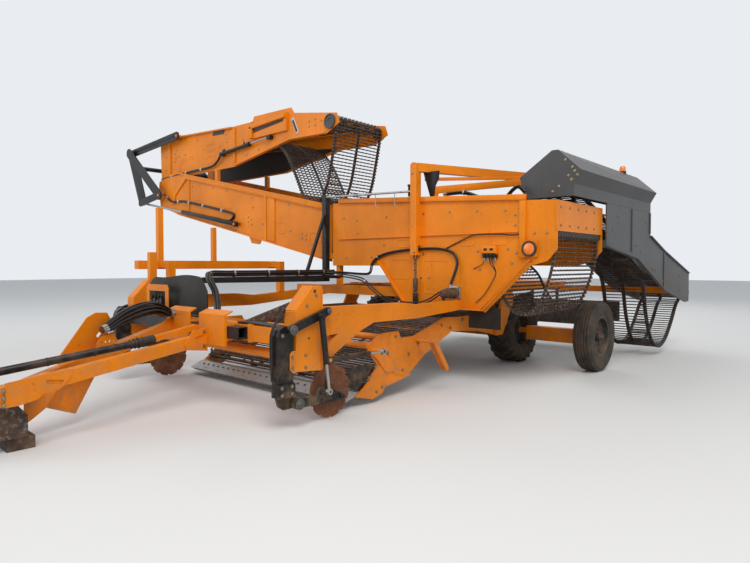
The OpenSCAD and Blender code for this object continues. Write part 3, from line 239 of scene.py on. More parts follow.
def rusty(name, rust, steel, dust, bright=0.2, rough=0.75):
    """Rusted steel with rubbed spots and soil."""
    s = Shade(name)
    base = s.mix(s.ramp(s.noise(9.0, 6, 0.65), 0.3, 0.72), tone(rust, 0.5), tone(rust, 1.7))
    rubbed = s.math("MULTIPLY", s.ramp(s.noise(24.0, 4, 0.6), 0.52, 0.62), bright)
    base = s.mix(s.ramp(s.noise(5.0, 5), 0.5, 0.75, 0, 0.5), s.mix(rubbed, base, steel), dust)
    s.set(Base_Color=base, Metallic=s.math("MULTIPLY", rubbed, 0.9), Roughness=s.ramp(rubbed, 0, 1, rough, 0.42))
    s.bump(s.noise(80.0, 5), 0.35, 0.003)


def steel_finish(name, steel, rust, rough=0.33):
    """Bright steel, brushed, with light rust."""
    s = Shade(name)
    spots = s.ramp(s.noise(16.0, 6, 0.6), 0.56, 0.7, 0, 0.6)
    s.set(Base_Color=s.mix(spots, steel, rust), Metallic=s.ramp(spots, 0, 1, 1.0, 0.1),
          Roughness=s.ramp(s.noise(40.0, 4), 0.3, 0.7, rough, rough + 0.25))
    s.bump(s.noise(120.0, 3), 0.12, 0.001)


def rubber_finish(name, rubber, dust, dusty=0.5, rough=0.72):
    """Black rubber, greyed by dust."""
    s = Shade(name)
    cover = s.ramp(s.noise(6.0, 6, 0.62), 0.36, 0.72, 0.05, dusty)
    s.set(Base_Color=s.mix(cover, rubber, dust), Roughness=s.ramp(cover, 0, 1, rough, 0.95), Specular_IOR_Level=0.35)
    s.bump(s.noise(90.0, 4), 0.18, 0.002)


def lens_finish(name, colour):
    """Orange lamp lens with a fine uneven grain and a faint painted glow."""
    s = Shade(name)
    # The weak emission is a painted glow: it makes the lens shine a little more than the scene's lamps light it
    s.set(Base_Color=s.mix(s.ramp(s.noise(90.0, 1), 0.4, 0.6), colour, tone(colour, 0.6)),
          Roughness=0.18, Coat_Weight=0.6, Emission_Color=colour, Emission_Strength=0.12)
    s.bump(s.noise(160.0, 1), 0.3, 0.002)


def round_edges(obj, width, angle):
    """Adds a two-step bevel to the edges that turn by more than the angle."""
    tool = obj.modifiers.new("edges", "BEVEL")
    tool.width = width
    tool.segments = 2
    tool.limit_method = "ANGLE"
    tool.angle_limit = math.radians(angle)
    return tool


class HARVESTER_OT_finishes(bpy.types.Operator):
    """Makes the paints, steels and rubbers and gives each carried-over solid its own"""

    bl_idname = "harvester.finishes"
    bl_label = "Finishes"

    def execute(self, context):
        colours = context.scene.harvester_finish
        orange, grey, black, rust, steel, rubber, dust = (
            tuple(getattr(colours, name)) for name in ("orange", "grey", "black", "rust", "steel", "rubber", "dust"))
        paint("orange enamel", orange, dust, rust)
        paint("grey enamel", grey, dust, rust, rough=0.42, wear=0.2, dust_top=1.6)
        paint("black enamel", black, dust, rust, rough=0.3, wear=0.3, dust_top=1.0)
        paint("rim paint", (0.05, 0.048, 0.045), dust, rust, rough=0.6, wear=0.6)
        rusty("rusty rods", tone(rust, 0.85), steel, tone(dust, 0.4), 0.3)
        rusty("dark rods", tone(rust, 0.35), steel, tone(dust, 0.5), 0.15)
        rusty("rusty casting", tone(rust, 0.8), steel, dust, 0.1, 0.85)
        rusty("rusty disc", tone(rust, 2.1, 1.35, 0.9), steel, dust, 0.05, 0.85)
        steel_finish("worn steel", steel, rust)
        steel_finish("scoured steel", tone(steel, 0.34), tone(rust, 0.9), 0.45)
        steel_finish("chrome", (0.34, 0.34, 0.35), tone(dust, 0.5), 0.2)
        steel_finish("zinc bolts", (0.34, 0.27, 0.16), tone(rust, 1.3), 0.4)
        rubber_finish("tyre rubber", rubber, tone(dust, 0.55), 0.55)
        rubber_finish("black rubber", rubber, tone(dust, 0.5), 0.25, 0.5)
        rubber_finish("hose rubber", tone(rubber, 0.6), tone(dust, 0.3), 0.15, 0.28)
        rubber_finish("curtain rubber", (0.006, 0.008, 0.006), tone(dust, 0.14), 0.4, 0.5)
        rubber_finish("white clip", (0.62, 0.61, 0.57), dust, 0.4, 0.5)
        lens_finish("orange lens", (0.95, 0.22, 0.01))
        for part in frame["record"]["subparts"]:
            node = NODES[part["node"]]
            finish = OWN_FINISH.get(part["node"], SLOT_FINISH[part["material_slot"]])
            node.data.materials.clear()
            node.data.materials.append(MATERIALS[finish])
            if part["material_slot"] in EASED_SLOTS:
                node.modifiers.new("join", "WELD").merge_threshold = SEAM
                round_edges(node, CAD_BEVEL, CAD_BEVEL_ANGLE).harden_normals = True
        return {"FINISHED"}


# Shapes


def smooth_route(points, step=0.04):
    """Points every step along a smooth curve through the given ones."""
    p = [Vector(q) for q in points]
    p = [p[0] * 2 - p[1], *p, p[-1] * 2 - p[-2]]
    out = []
    for a, b, c, d in zip(p, p[1:], p[2:], p[3:]):
        count = max(2, int((c - b).length / step))
        for t in (k / count for k in range(count)):
            out.append(
                0.5 * (2 * b + (c - a) * t + (2 * a - 5 * b + 4 * c - d) * t * t + (3 * b - a - 3 * c + d) * t**3))
    return [*out, p[-2]]


def rounded(path, reach=0.25, share=0.45, steps=6):
    """Closed outline with each corner eased by a short curve."""
    p = [Vector(q) for q in path]
    out = []
    for i, corner in enumerate(p):
        before, after = p[i - 1] - corner, p[(i + 1) % len(p)] - corner
        a = corner + before.normalized() * min(reach, share * before.length)
        b = corner + after.normalized() * min(reach, share * after.length)
        out += [(a * (1 - t) + corner * t) * (1 - t) + (corner * (1 - t) + b * t) * t
                for t in (k / steps for k in range(steps + 1))]
    return out


def oblong(a0, a1, b0, b1):
    return [(a0, b0), (a1, b0), (a1, b1), (a0, b1)]


def eased_box(a0, a1, b0, b1, r, steps=5):
    """Outline of a rectangle with round corners."""
    out = []
    for ca, cb, start in ((a1 - r, b1 - r, 0), (a0 + r, b1 - r, 90), (a0 + r, b0 + r, 180), (a1 - r, b0 + r, 270)):
        for t in (math.radians(start + 90 * k / steps) for k in range(steps + 1)):
            out.append((ca + r * math.cos(t), cb + r * math.sin(t)))
    return out


class Mould:
    """Gathers closed forms in the machine's axes and turns them into one piece."""

    def __init__(self):
        self.points = []
        self.faces = []

    def add(self, points, faces):
        base = len(self.points)
        self.points.extend(tuple(p) for p in points)
        self.faces.extend(tuple(i + base for i in face) for face in faces)
        return self

    def block(self, x0, y0, z0, x1, y1, z1):
        return self.prism(oblong(x0, x1, y0, y1), z0, z1, "xy")

    def prism(self, outline, low, high, plane="yz"):
        """Outline in the plane 'xy', 'xz' or 'yz', thick from low to high along the third axis."""
        order = {"xy": (0, 1, 2), "xz": (0, 2, 1), "yz": (2, 0, 1)}[plane]
        points = [[(*p, level)[i] for i in order] for level in (low, high) for p in outline]
        n = len(outline)
        sides = [(i, (i + 1) % n, (i + 1) % n + n, i + n) for i in range(n)]
        return self.add(points, [tuple(range(n))[::-1], tuple(range(n, 2 * n)), *sides])

    def sweep(self, route, section, up=None, closed=False):
        """A section of (side, up) offsets carried along a route."""
        route = [Vector(p) for p in route]
        n, m = len(route), len(section)
        points = []
        side = None
        for i, p in enumerate(route):
            before = route[i - 1] if (closed or i > 0) else p
            after = route[(i + 1) % n] if (closed or i < n - 1) else p
            t = (after - before).normalized()
            if up is not None:
                side = t.cross(Vector(up)).normalized()
            elif side is None:
                side = t.orthogonal().normalized()
            else:
                side = (side - t * side.dot(t)).normalized()
            lift = side.cross(t)
            points += [p + side * a + lift * b for a, b in section]
        faces = [
            (i * m + k, i * m + (k + 1) % m, (i + 1) % n * m + (k + 1) % m, (i + 1) % n * m + k)
            for i in range(n if closed else n - 1) for k in range(m)
        ]
        if not closed:
            faces += [tuple(range(m))[::-1], tuple(range((n - 1) * m, n * m))]
        return self.add(points, faces)

    def tube(self, route, d, sides=8, closed=False):
        ring = [(math.cos(k * math.tau / sides) * d / 2, math.sin(k * math.tau / sides) * d / 2) for k in range(sides)]
        return self.sweep(route, ring, None, closed)

    def line(self, route, d, step=0.05, sides=8):
        """A tube along a smooth curve through the route's points."""
        return self.tube(smooth_route(route, step), d, sides)

    def revolve(self, at, axis, profile, sides=32, ring=False):
        """Profile of (radius, height) turned about an axis; a ring's profile closes on itself."""
        at, axis = Vector(at), Vector(axis).normalized()
        a = axis.orthogonal().normalized()
        b = axis.cross(a)
        points, rows = [], []
        for r, h in profile:
            count = 1 if r == 0 else sides
            rows.append([len(points) + k for k in range(count)])
            points += [at + axis * h + (a * math.cos(k * math.tau / sides) + b * math.sin(k * math.tau / sides)) * r
                       for k in range(count)]
        faces = []
        for low, high in [*zip(rows, rows[1:]), *([(rows[-1], rows[0])] if ring else [])]:
            for k in range(sides):
                j = (k + 1) % sides
                face = [low[k % len(low)], low[j % len(low)], high[j % len(high)], high[k % len(high)]]
                face = tuple(dict.fromkeys(face))
                if len(face) > 2:
                    faces.append(face)
        if not ring:
            faces += [tuple(row) for row in (rows[0], rows[-1]) if len(row) > 1]
        return self.add(points, faces)

    def lathe(self, at, axis, profile, sides=16):
        """A profile that closes on the axis at both ends."""
        return self.revolve(at, axis, [(0, profile[0][1]), *profile, (0, profile[-1][1])], sides)

    def drum(self, at, axis, r, high, sides=16):
        return self.lathe(at, axis, [(r, 0), (r, high)], sides)

    def rod(self, p, q, d, sides=16):
        p, q = Vector(p), Vector(q)
        return self.revolve(p, q - p, [(d / 2, 0), (d / 2, (q - p).length)], sides)

    def box_along(self, p, q, wide, high, up=Z):
        return self.sweep([p, q], oblong(-wide / 2, wide / 2, -high / 2, high / 2), up)

    def pressed(self, outline, x, out=1, high=0.006, wide=0.008):
        """A raised line round an outline of (y, z), on a wall at x."""
        section = [(-wide, -0.001 * out), (wide, -0.001 * out), (wide * 0.4, high * out), (-wide * 0.4, high * out)]
        return self.sweep([(x, a, b) for a, b in outline], section, X, closed=True)

    def mesh(self, name, offset=MACHINE):
        mesh = bpy.data.meshes.new(name)
        mesh.from_pydata([Vector(p) + offset for p in self.points], [], self.faces)
        shell = bmesh.new()
        shell.from_mesh(mesh)
        bmesh.ops.remove_doubles(shell, verts=shell.verts, dist=1e-6)
        bmesh.ops.recalc_face_normals(shell, faces=shell.faces)
        shell.to_mesh(mesh)
        shell.free()
        return mesh

    def piece(self, name, finish, body="chassis", replaces=(), bevel=0.0):
        return settle(bpy.data.objects.new(name, self.mesh(name)), finish, body, replaces, bevel)


def show(obj):
    if obj.name not in bpy.context.scene.collection.objects:
        bpy.context.scene.collection.objects.link(obj)


def bake(obj):
    """Turns the evaluated piece into a plain mesh."""
    bpy.context.view_layer.update()
    mesh = bpy.data.meshes.new_from_object(obj.evaluated_get(bpy.context.evaluated_depsgraph_get()))
    obj.modifiers.clear()
    obj.data = mesh
    mesh.name = obj.name


def settle(obj, finish, body, replaces=(), bevel=0.0):
    """Finishes a piece: its edges, shading, material and the body that it rides on."""
    show(obj)
    if bevel:
        round_edges(obj, bevel, BEVEL_ANGLE)
        bake(obj)
    obj.data.shade_smooth()
    obj.data.set_sharp_from_angle(angle=math.radians(SMOOTH_ANGLE))
    obj.data.materials.clear()
    obj.data.materials.append(MATERIALS[finish])
    for node in replaces:
        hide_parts(node)
    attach(obj, body)
    return obj


# Geometry nodes


class Tree(Graph):
    """One tree of geometry nodes with named inputs."""

    def __init__(self, name, inputs):
        super().__init__(bpy.data.node_groups.new(name, "GeometryNodeTree"))
        face = self.tree.interface
        face.new_socket("Geometry", in_out="INPUT", socket_type="NodeSocketGeometry")
        self.ids = {label: face.new_socket(label, in_out="INPUT", socket_type="NodeSocket" + kind).identifier
                    for label, kind in inputs.items()}
        face.new_socket("Geometry", in_out="OUTPUT", socket_type="NodeSocketGeometry")
        self.given = self.tree.nodes.new("NodeGroupInput").outputs
        self.out = self.tree.nodes.new("NodeGroupOutput").inputs["Geometry"]

    def xyz(self, **values):
        return self.node("ShaderNodeCombineXYZ", values)["Vector"]

    def move(self, geometry, **change):
        return self.node("GeometryNodeTransform", {"Geometry": geometry, **change})["Geometry"]

    def cylinder(self, radius, depth):
        return self.node("GeometryNodeMeshCylinder", {"Vertices": 8, "Radius": radius, "Depth": depth})["Mesh"]

    def lay(self, points, instance, **turn):
        return self.node("GeometryNodeInstanceOnPoints", {"Points": points, "Instance": instance, **turn})["Instances"]

    def end(self, geometry):
        solid = self.node("GeometryNodeRealizeInstances", {"Geometry": geometry})
        done = self.node("GeometryNodeSetMaterial", {"Geometry": solid["Geometry"], "Material": self.given["Material"]})
        self.tree.links.new(done["Geometry"], self.out)
        return self

    def grow(self, obj, values):
        """Runs the tree on an object and keeps the plain mesh."""
        show(obj)
        tool = obj.modifiers.new("grow", "NODES")
        tool.node_group = self.tree
        for label, value in values.items():
            tool[self.ids[label]] = value
        bake(obj)


TREES = {}


def chain_tree():
    """A rod with its end links at every pitch of a path, and fingers where they are asked for."""
    t = Tree("rod chain", {"Pitch": "Float", "Rod": "Float", "Width": "Float", "Lift": "Float",
                           "Fingers": "Int", "Finger height": "Float", "Material": "Material"})
    curve = t.node("GeometryNodeMeshToCurve", {"Mesh": t.given["Geometry"]})["Curve"]
    spots = t.node("GeometryNodeCurveToPoints", {"Curve": curve, "Length": t.given["Pitch"]}, mode="LENGTH")
    turn = t.node("FunctionNodeAlignRotationToVector", {"Vector": spots["Tangent"]}, axis="X", pivot_axis="Z")
    radius = t.math("MULTIPLY", t.given["Rod"], 0.5)
    half = t.math("MULTIPLY", t.given["Width"], 0.5)
    size = t.xyz(X=t.math("MULTIPLY", t.given["Pitch"], 0.86), Y=0.012, Z=0.018)
    link = t.node("GeometryNodeMeshCube", {"Size": size})["Mesh"]
    boss = t.cylinder(t.math("MULTIPLY", radius, 1.75), 0.03)
    parts = t.node("GeometryNodeJoinGeometry")["Geometry"]
    shapes = [t.cylinder(radius, t.given["Width"])]
    for sign in (1, -1):
        for inset, mesh in ((0.034, link), (0.018, boss)):
            z = t.math("MULTIPLY", t.math("SUBTRACT", half, inset), sign)
            shapes.append(t.move(mesh, Translation=t.xyz(Z=z)))
    # Rubber fingers that stand on every rod
    start, end = (t.xyz(Z=t.math("MULTIPLY", half, share)) for share in (-0.88, 0.88))
    line = t.node("GeometryNodeMeshLine", {"Count": t.given["Fingers"], "Start Location": start, "Offset": end},
                  mode="END_POINTS")["Mesh"]
    cone = t.node("GeometryNodeMeshCone", {"Vertices": 7, "Radius Top": 0.008, "Radius Bottom": 0.014,
                                           "Depth": t.given["Finger height"]})["Mesh"]
    shapes.append(t.lay(line, t.move(cone, Rotation=(-math.pi / 2, 0, 0))))
    for shape in shapes:
        t.tree.links.new(shape, parts.node.inputs["Geometry"])
    lifted = t.move(parts, Translation=t.xyz(Y=t.given["Lift"]))
    return t.end(t.lay(spots["Points"], lifted, Rotation=turn["Rotation"]))


def laid_tree():
    """One form laid at every point, its top along 'facing' and its length along 'heading'."""
    t = Tree("laid pieces", {"Form": "Object", "Material": "Material"})
    form = t.node("GeometryNodeObjectInfo", {"Object": t.given["Form"]})["Geometry"]
    facing, heading = (
        t.node("GeometryNodeInputNamedAttribute", {"Name": name}, data_type="FLOAT_VECTOR")["Attribute"]
        for name in ("facing", "heading"))
    stood = t.node("FunctionNodeAlignRotationToVector", {"Vector": facing}, axis="Z")["Rotation"]
    turned = t.node("FunctionNodeAlignRotationToVector", {"Rotation": stood, "Vector": heading},
                    axis="X", pivot_axis="Z")["Rotation"]
    return t.end(t.lay(t.given["Geometry"], form, Rotation=turned))


def laid(name, form, places, finish, body):
    """A piece that repeats a form at places of (point, facing, heading), in the machine's axes."""
    mesh = bpy.data.meshes.new(name)
    mesh.from_pydata([Vector(p) + MACHINE for p, _, _ in places], [], [])
    for label, index in (("facing", 1), ("heading", 2)):
        layer = mesh.attributes.new(label, "FLOAT_VECTOR", "POINT")
        layer.data.foreach_set("vector", [c for spot in places for c in Vector(spot[index])])
    obj = bpy.data.objects.new(name, mesh)
    holder = bpy.data.objects.new(name + "_form", form.mesh(name + "_form", Vector()))
    show(holder)
    TREES["laid"].grow(obj, {"Form": holder, "Material": MATERIALS[finish]})
    bpy.data.objects.remove(holder)
    return settle(obj, finish, body)


class HARVESTER_OT_trees(bpy.types.Operator):
    """Builds the trees that lay the rods, bolts and lugs"""

    bl_idname = "harvester.trees"
    bl_label = "Node trees"

    def execute(self, context):
        TREES["chain"] = chain_tree()
        TREES["laid"] = laid_tree()
        return {"FINISHED"}


# Chains

# Route of each chain in its own plane, in metres
TROUGH_ROUTE = [
    (-0.69, 1.985), (2.94, 1.985), (3.025, 1.93), (3.045, 1.8), (2.98, 1.45), (2.84, 1.09), (2.64, 0.955), (2.44, 1.02),
    (2.29, 1.24), (2.17, 1.5), (1.9, 1.69), (-0.64, 1.75), (-0.735, 1.86)]
UPPER_ROUTE = [
    (-6.56, 4.44), (-3.77, 4.29), (-1.0, 4.11), (-0.85, 4.06), (-0.83, 3.96), (-0.93, 3.5), (-1.05, 3.0), (-1.22, 2.72),
    (-1.45, 2.66), (-1.7, 2.8), (-1.9, 3.2), (-2.2, 3.7), (-2.7, 3.99), (-3.77, 4.1), (-6.56, 4.28), (-6.62, 4.36)]
LOWER_ROUTE = [
    (-0.98, 1.83), (-6.2, 2.963), (-6.27, 2.93), (-6.27, 2.88), (-6.2, 2.855), (-0.98, 1.722), (-0.93, 1.75),
    (-0.93, 1.8)]
ELEVATOR_ROUTE = [
    (-3.6, 1.01), (-2.12, 1.36), (-0.55, 1.92), (1.3, 2.56), (1.42, 2.56), (1.48, 2.48), (1.44, 2.39), (1.32, 2.35),
    (-0.5, 1.77), (-1.25, 1.48), (-1.43, 1.2), (-1.56, 0.75), (-1.86, 0.28), (-2.3, 0.115), (-2.75, 0.23),
    (-3.15, 0.55), (-3.42, 0.84), (-3.64, 0.93)]
DIGGER_ROUTE = [
    (3.86, 0.3), (2.25, 0.845), (0.86, 0.865), (0.785, 0.855), (0.75, 0.79), (0.775, 0.73), (0.85, 0.705), (2.15, 0.71),
    (3.84, 0.18), (3.9, 0.19), (3.92, 0.24), (3.9, 0.29)]
SECOND_ROUTE = [(0.64, 0.83), (-1.3, 1.02), (-1.38, 0.98), (-1.38, 0.9), (-1.3, 0.88), (0.54, 0.69), (0.62, 0.73)]
CROSS_ROUTE = [
    (-1.15, 0.8), (2.16, 0.8), (2.23, 0.74), (2.23, 0.64), (2.16, 0.58), (-1.15, 0.58), (-1.22, 0.64), (-1.22, 0.74)]

# Local X, Y of a route and Z across it, to the machine's axes
ALONG_Y = Matrix(((0, 0, 1), (1, 0, 0), (0, 1, 0)))
ALONG_X = Matrix(((1, 0, 0), (0, 0, -1), (0, 1, 0)))

# Name of the rods, node, body, route and its plane, both sides, finish, belts, fingers and their height
CHAINS = [
    ("trough", "trough_chain", "chassis", TROUGH_ROUTE, ALONG_Y, 0.69, 2.06, "rusty rods", (-1, 1), 14, 0.03),
    ("upper_boom", "upper_boom_chain", "boom_tip", UPPER_ROUTE, ALONG_Y, 0.795, 1.955, "rusty rods", (-1, 0, 1),
     12, 0.045),
    ("lower_boom", "lower_boom_chain", "boom", LOWER_ROUTE, ALONG_Y, 0.725, 2.025, "rusty rods", (-1, 0, 1), 10, 0.03),
    ("elevator", "elevator_chain", "chassis", ELEVATOR_ROUTE, ALONG_X, 2.33, 3.05, "dark rods", (-1, 0, 1)),
    ("digger", "digger_chain", "digger", DIGGER_ROUTE, ALONG_X, -1.566, 1.566, "rusty rods", (-1, -0.33, 0.33, 1)),
    ("second", "second_bed", "chassis", SECOND_ROUTE, ALONG_X, -0.96, 0.96, "rusty rods", (-1, -0.33, 0.33, 1)),
    ("cross", "cross_conveyor", "chassis", CROSS_ROUTE, ALONG_Y, -2.56, -1.5, "dark rods", (-1, 1)),
]
BELT_HALF = 0.03
BELT_LOW, BELT_HIGH = 0.013, 0.004  # depths of a belt's two faces under the path
ROD_LIFT = 0.003
ROUNDING = 1.00001  # keeps the last rod off the first


def chain(name, node, body, route, turn, low, high, finish, belts, fingers=0, tall=0.04):
    """Rods and belts of one chain between low and high across its route."""
    sizes = bpy.context.scene.harvester_sizes
    if sum(a[0] * b[1] - b[0] * a[1] for a, b in zip(route, route[1:] + route[:1])) > 0:
        route = route[::-1]
    path = rounded([(*p, 0.0) for p in route])
    mesh = bpy.data.meshes.new(name)
    mesh.from_pydata(path, [(i, (i + 1) % len(path)) for i in range(len(path))], [])
    obj = bpy.data.objects.new(name, mesh)
    length = sum((a - b).length for a, b in zip(path, path[1:] + path[:1]))
    pitch = length / round(length / sizes.rod_pitch) * ROUNDING
    TREES["chain"].grow(obj, {
        "Pitch": pitch, "Rod": sizes.rod_d, "Width": high - low - 0.006, "Lift": ROD_LIFT,
        "Fingers": fingers, "Finger height": tall, "Material": MATERIALS[finish]})
    across = (low + high) / 2 * (-1 if turn is ALONG_X else 1)
    obj.data.transform(Matrix.Translation(MACHINE) @ turn.to_4x4() @ Matrix.Translation((0, 0, across)))
    settle(obj, finish, body, [node])
    strip = Mould()
    w = BELT_HALF
    section = [(BELT_LOW, -w), (BELT_LOW, w), (BELT_HIGH, w), (BELT_HIGH, -w)]
    for at in belts:
        z = at * ((high - low) / 2 - w - 0.004) + across
        strip.sweep([turn @ Vector((p.x, p.y, z)) for p in path], section, turn @ Vector(Z), closed=True)
    strip.piece(name + "_belts", "black rubber", body)


class HARVESTER_OT_chains(bpy.types.Operator):
    """Rod chains of the digger, cross conveyor, elevator, trough and boom, with their belts"""

    bl_idname = "harvester.chains"
    bl_label = "Chains"

    def execute(self, context):
        for name, *rest in CHAINS:
            chain(name + "_rods", *rest)
        return {"FINISHED"}


# Wheels


def hex_bolt(size):
    """Hexagon head on its washer, standing on +Z."""
    form = Mould().drum((0, 0, -0.002), Z, size * 0.78, 0.005, 12)
    return form.lathe((0, 0, 0.003), Z, [(size * 0.55, 0), (size * 0.55, size * 0.3), (size * 0.42, size * 0.38)], 6)


def bolts(name, places, body="chassis", size=None, finish="zinc bolts"):
    """Bolt heads at places of (point, facing)."""
    spots = []
    for i, (point, facing) in enumerate(places):
        side = Vector(facing).orthogonal()
        spots.append((point, facing, Matrix.Rotation(i * 0.7, 3, Vector(facing)) @ side))
    return laid(name, hex_bolt(size or bpy.context.scene.harvester_sizes.bolt_d), spots, finish, body)


def on_x(x, pairs, way=1):
    """Bolt places on a wall at x, at pairs of (y, z)."""
    return [((x, y, z), (way, 0, 0)) for y, z in pairs]


def on_y(y, pairs, way=1):
    """Bolt places on a wall at y, at pairs of (x, z)."""
    return [((x, y, z), (0, way, 0)) for x, z in pairs]


def lug_form():
    """One bar of the tread, from the tyre's middle out over its shoulder."""
    points = []
    for x, top, low, w in ((0, 0.044, -0.01, 0.021), (0.08, 0.046, -0.01, 0.022), (0.16, 0.042, -0.02, 0.024),
                           (0.215, 0.022, -0.04, 0.027), (0.245, -0.03, -0.07, 0.026)):
        points += [(x, -w, low), (x, w, low), (x, w * 0.72, top), (x, -w * 0.72, top)]
    faces = [(0, 1, 2, 3), (19, 18, 17, 16)]
    for i in range(0, 16, 4):
        faces += [(i + k, i + 4 + k, i + 4 + (k + 1) % 4, i + (k + 1) % 4) for k in range(4)]
    return Mould().add(points, faces)


OUTRIGGER_WALL = [
    (0.300, -0.101), (0.303, -0.116), (0.318, -0.119), (0.333, -0.125), (0.345, -0.127), (0.350, -0.132),
    (0.357, -0.130), (0.385, -0.136), (0.425, -0.140), (0.462, -0.137), (0.466, -0.139), (0.474, -0.138),
    (0.478, -0.133), (0.498, -0.126), (0.513, -0.116), (0.520, -0.105)]
MAIN_WALL = [
    (0.28, -0.158), (0.284, -0.176), (0.30, -0.186), (0.33, -0.20), (0.37, -0.213), (0.42, -0.22), (0.455, -0.213),
    (0.476, -0.196), (0.488, -0.165), (0.494, -0.10), (0.496, 0.0)]
LUGS = 22
LUG_HEADING = (-0.57, 0.82)  # back along the tread, and out from its middle
NUTS = 8
NUT_CIRCLE = 0.12


class HARVESTER_OT_wheels(bpy.types.Operator):
    """Grooved outrigger tyre, lugged main tyres, hubs and nuts"""

    bl_idname = "harvester.wheels"
    bl_label = "Wheels"

    def execute(self, context):
        tread = []
        for at in (-0.084, -0.042, 0.0, 0.042, 0.084):
            r = 0.529 - abs(at) * 0.06
            tread += [(r, at - 0.0075), (r - 0.015, at - 0.004), (r - 0.015, at + 0.004), (r, at + 0.0075)]
        profile = OUTRIGGER_WALL + tread + [(r, -h) for r, h in OUTRIGGER_WALL[::-1]]
        tyre = Mould().revolve((0, 2.75, AXLE_Z), Y, profile, 72, ring=True)
        tyre.piece("outrigger_tyre_ribbed", "tyre rubber", "outrigger_wheel", ["outrigger_tyre"])
        carcass = MAIN_WALL + [(r, -h) for r, h in MAIN_WALL[-2::-1]]
        for side, y in (("left", 1.4), ("right", -1.4)):
            body = side + "_main_wheel"
            middle = Vector((0, y, AXLE_Z))
            mould = Mould().revolve(middle, Y, carcass, 72, ring=True)
            mould.piece(side + "_main_carcass", "tyre rubber", body, [side + "_main_tyre"])
            places = []
            for a, s in (((i + s / 4) * math.tau / LUGS, s) for i in range(LUGS) for s in (-1, 1)):
                radial = Vector((math.sin(a), 0, math.cos(a)))
                along = Vector((math.cos(a), 0, -math.sin(a)))
                heading = along * LUG_HEADING[0] + Vector((0, LUG_HEADING[1] * s, 0))
                places.append((middle + radial * 0.483 + heading * 0.008, radial, heading))
            laid(side + "_main_lugs", lug_form(), places, "tyre rubber", body)
        # Hubs, flanges and nuts on the outer faces
        for body, y, out, r in (("outrigger_wheel", 2.75, 1, 0.3), ("left_main_wheel", 1.4, 1, 0.28),
                                ("right_main_wheel", -1.4, -1, 0.28)):
            facing = (0, out, 0)
            hub = Mould().lathe((0, y + 0.089 * out, AXLE_Z), facing, [
                (0.078, 0), (0.078, 0.006), (0.058, 0.014), (0.052, 0.034), (0.03, 0.045)], 24)
            hub.revolve((0, y + 0.0135 * out, AXLE_Z), facing, [
                (0.081, 0.0), (0.15, 0.0), (0.15, 0.012), (0.081, 0.016)], 32, ring=True)
            hub.piece(body + "_hub", "rusty casting", body, bevel=0.002)
            turns = [k * math.tau / NUTS for k in range(NUTS)]
            nuts = [(math.cos(a) * NUT_CIRCLE, AXLE_Z + math.sin(a) * NUT_CIRCLE) for a in turns]
            bolts(body + "_nuts", on_y(y + 0.027 * out, nuts, out), body, 0.03, "rusty casting")
            edge = Mould()
            for s in (-1, 1):
                edge.revolve((0, y, AXLE_Z), Y, [
                    (r + dr, s * h * r / 0.3) for dr, h in (
                        (-0.028, 0.10), (0.004, 0.104), (0.008, 0.112), (-0.026, 0.112))], 64, ring=True)
            edge.piece(body + "_rim_edges", "rim paint", body)
        return {"FINISHED"}


# Hoses

# Routes of the held hose runs; each ends where the solids' run does
FRONT_HOSE = [
    (2.5, -0.47, 1.5), (2.36, -0.3, 1.49), (2.2, -0.08, 1.47), (2.13, 0.06, 1.47), (2.125, 0.11, 1.52),
    (2.13, 0.15, 1.64), (2.13, 0.32, 1.745), (2.13, 0.62, 1.805), (2.13, 1.0, 1.83), (2.13, 1.38, 1.83),
    (2.13, 1.62, 1.77), (2.135, 1.7, 1.64), (2.17, 1.68, 1.48), (2.205, 1.655, 1.37), (2.21, 1.65, 1.32),
    (2.21, 1.65, 1.281)]
LOW_HOSE = [
    (2.55, -0.5, 1.47), (2.42, -0.36, 1.45), (2.29, -0.16, 1.42), (2.21, 0.02, 1.37), (2.205, 0.18, 1.26),
    (2.205, 0.46, 1.11), (2.205, 0.8, 1.05), (2.205, 1.13, 1.06), (2.21, 1.33, 1.13), (2.225, 1.47, 1.21),
    (2.23, 1.54, 1.22), (2.23, 1.589, 1.22)]
TRAY_HOSE = [
    (2.33, -0.5, 1.4865), (3.4, -0.5, 1.4865), (4.25, -0.5, 1.4865), (4.56, -0.45, 1.4865), (4.69, -0.29, 1.43),
    (4.745, -0.08, 1.29), (4.81, 0.08, 1.14), (4.84, 0.12, 1.05), (4.84, 0.12, 1.0), (4.84, 0.12, 0.961)]
TONGUE_HOSE = [
    (6.12, 0.008, 0.922), (6.04, -0.02, 0.942), (5.94, -0.06, 0.99), (5.78, -0.12, 1.045), (5.58, -0.21, 1.08),
    (5.4, -0.285, 1.075), (5.29, -0.325, 1.04), (5.235, -0.33, 1.022), (5.19, -0.33, 1.022), (5.142, -0.33, 1.022)]
UPPER_BOOM_HOSE = [
    (1.98, -6.62, 3.585), (2.03, -6.6, 3.59), (2.045, -6.45, 3.603), (2.045, -6.13, 3.615), (2.045, -5.27, 3.635),
    (2.045, -4.5, 3.65), (2.05, -4.25, 3.72), (2.06, -4.1, 3.83), (2.06, -4.0, 3.92)]
LOWER_BOOM_HOSE = [
    (2.095, -6.25, 3.16), (2.092, -6.1, 3.06), (2.09, -5.9, 3.02), (2.09, -5.5, 3.0), (2.09, -4.6, 2.83),
    (2.09, -3.75, 2.65), (2.09, -3.6, 2.58), (2.09, -3.7, 2.5), (2.1, -3.9, 2.45)]
TOP_HOSE = [
    (1.95, 1.35, 2.6), (1.93, 1.67, 2.6), (1.9, 1.9, 2.52), (1.9, 2.13, 2.47), (1.9, 2.28, 2.48), (1.88, 2.38, 2.58),
    (1.86, 2.46, 2.62), (1.84, 2.54, 2.54)]


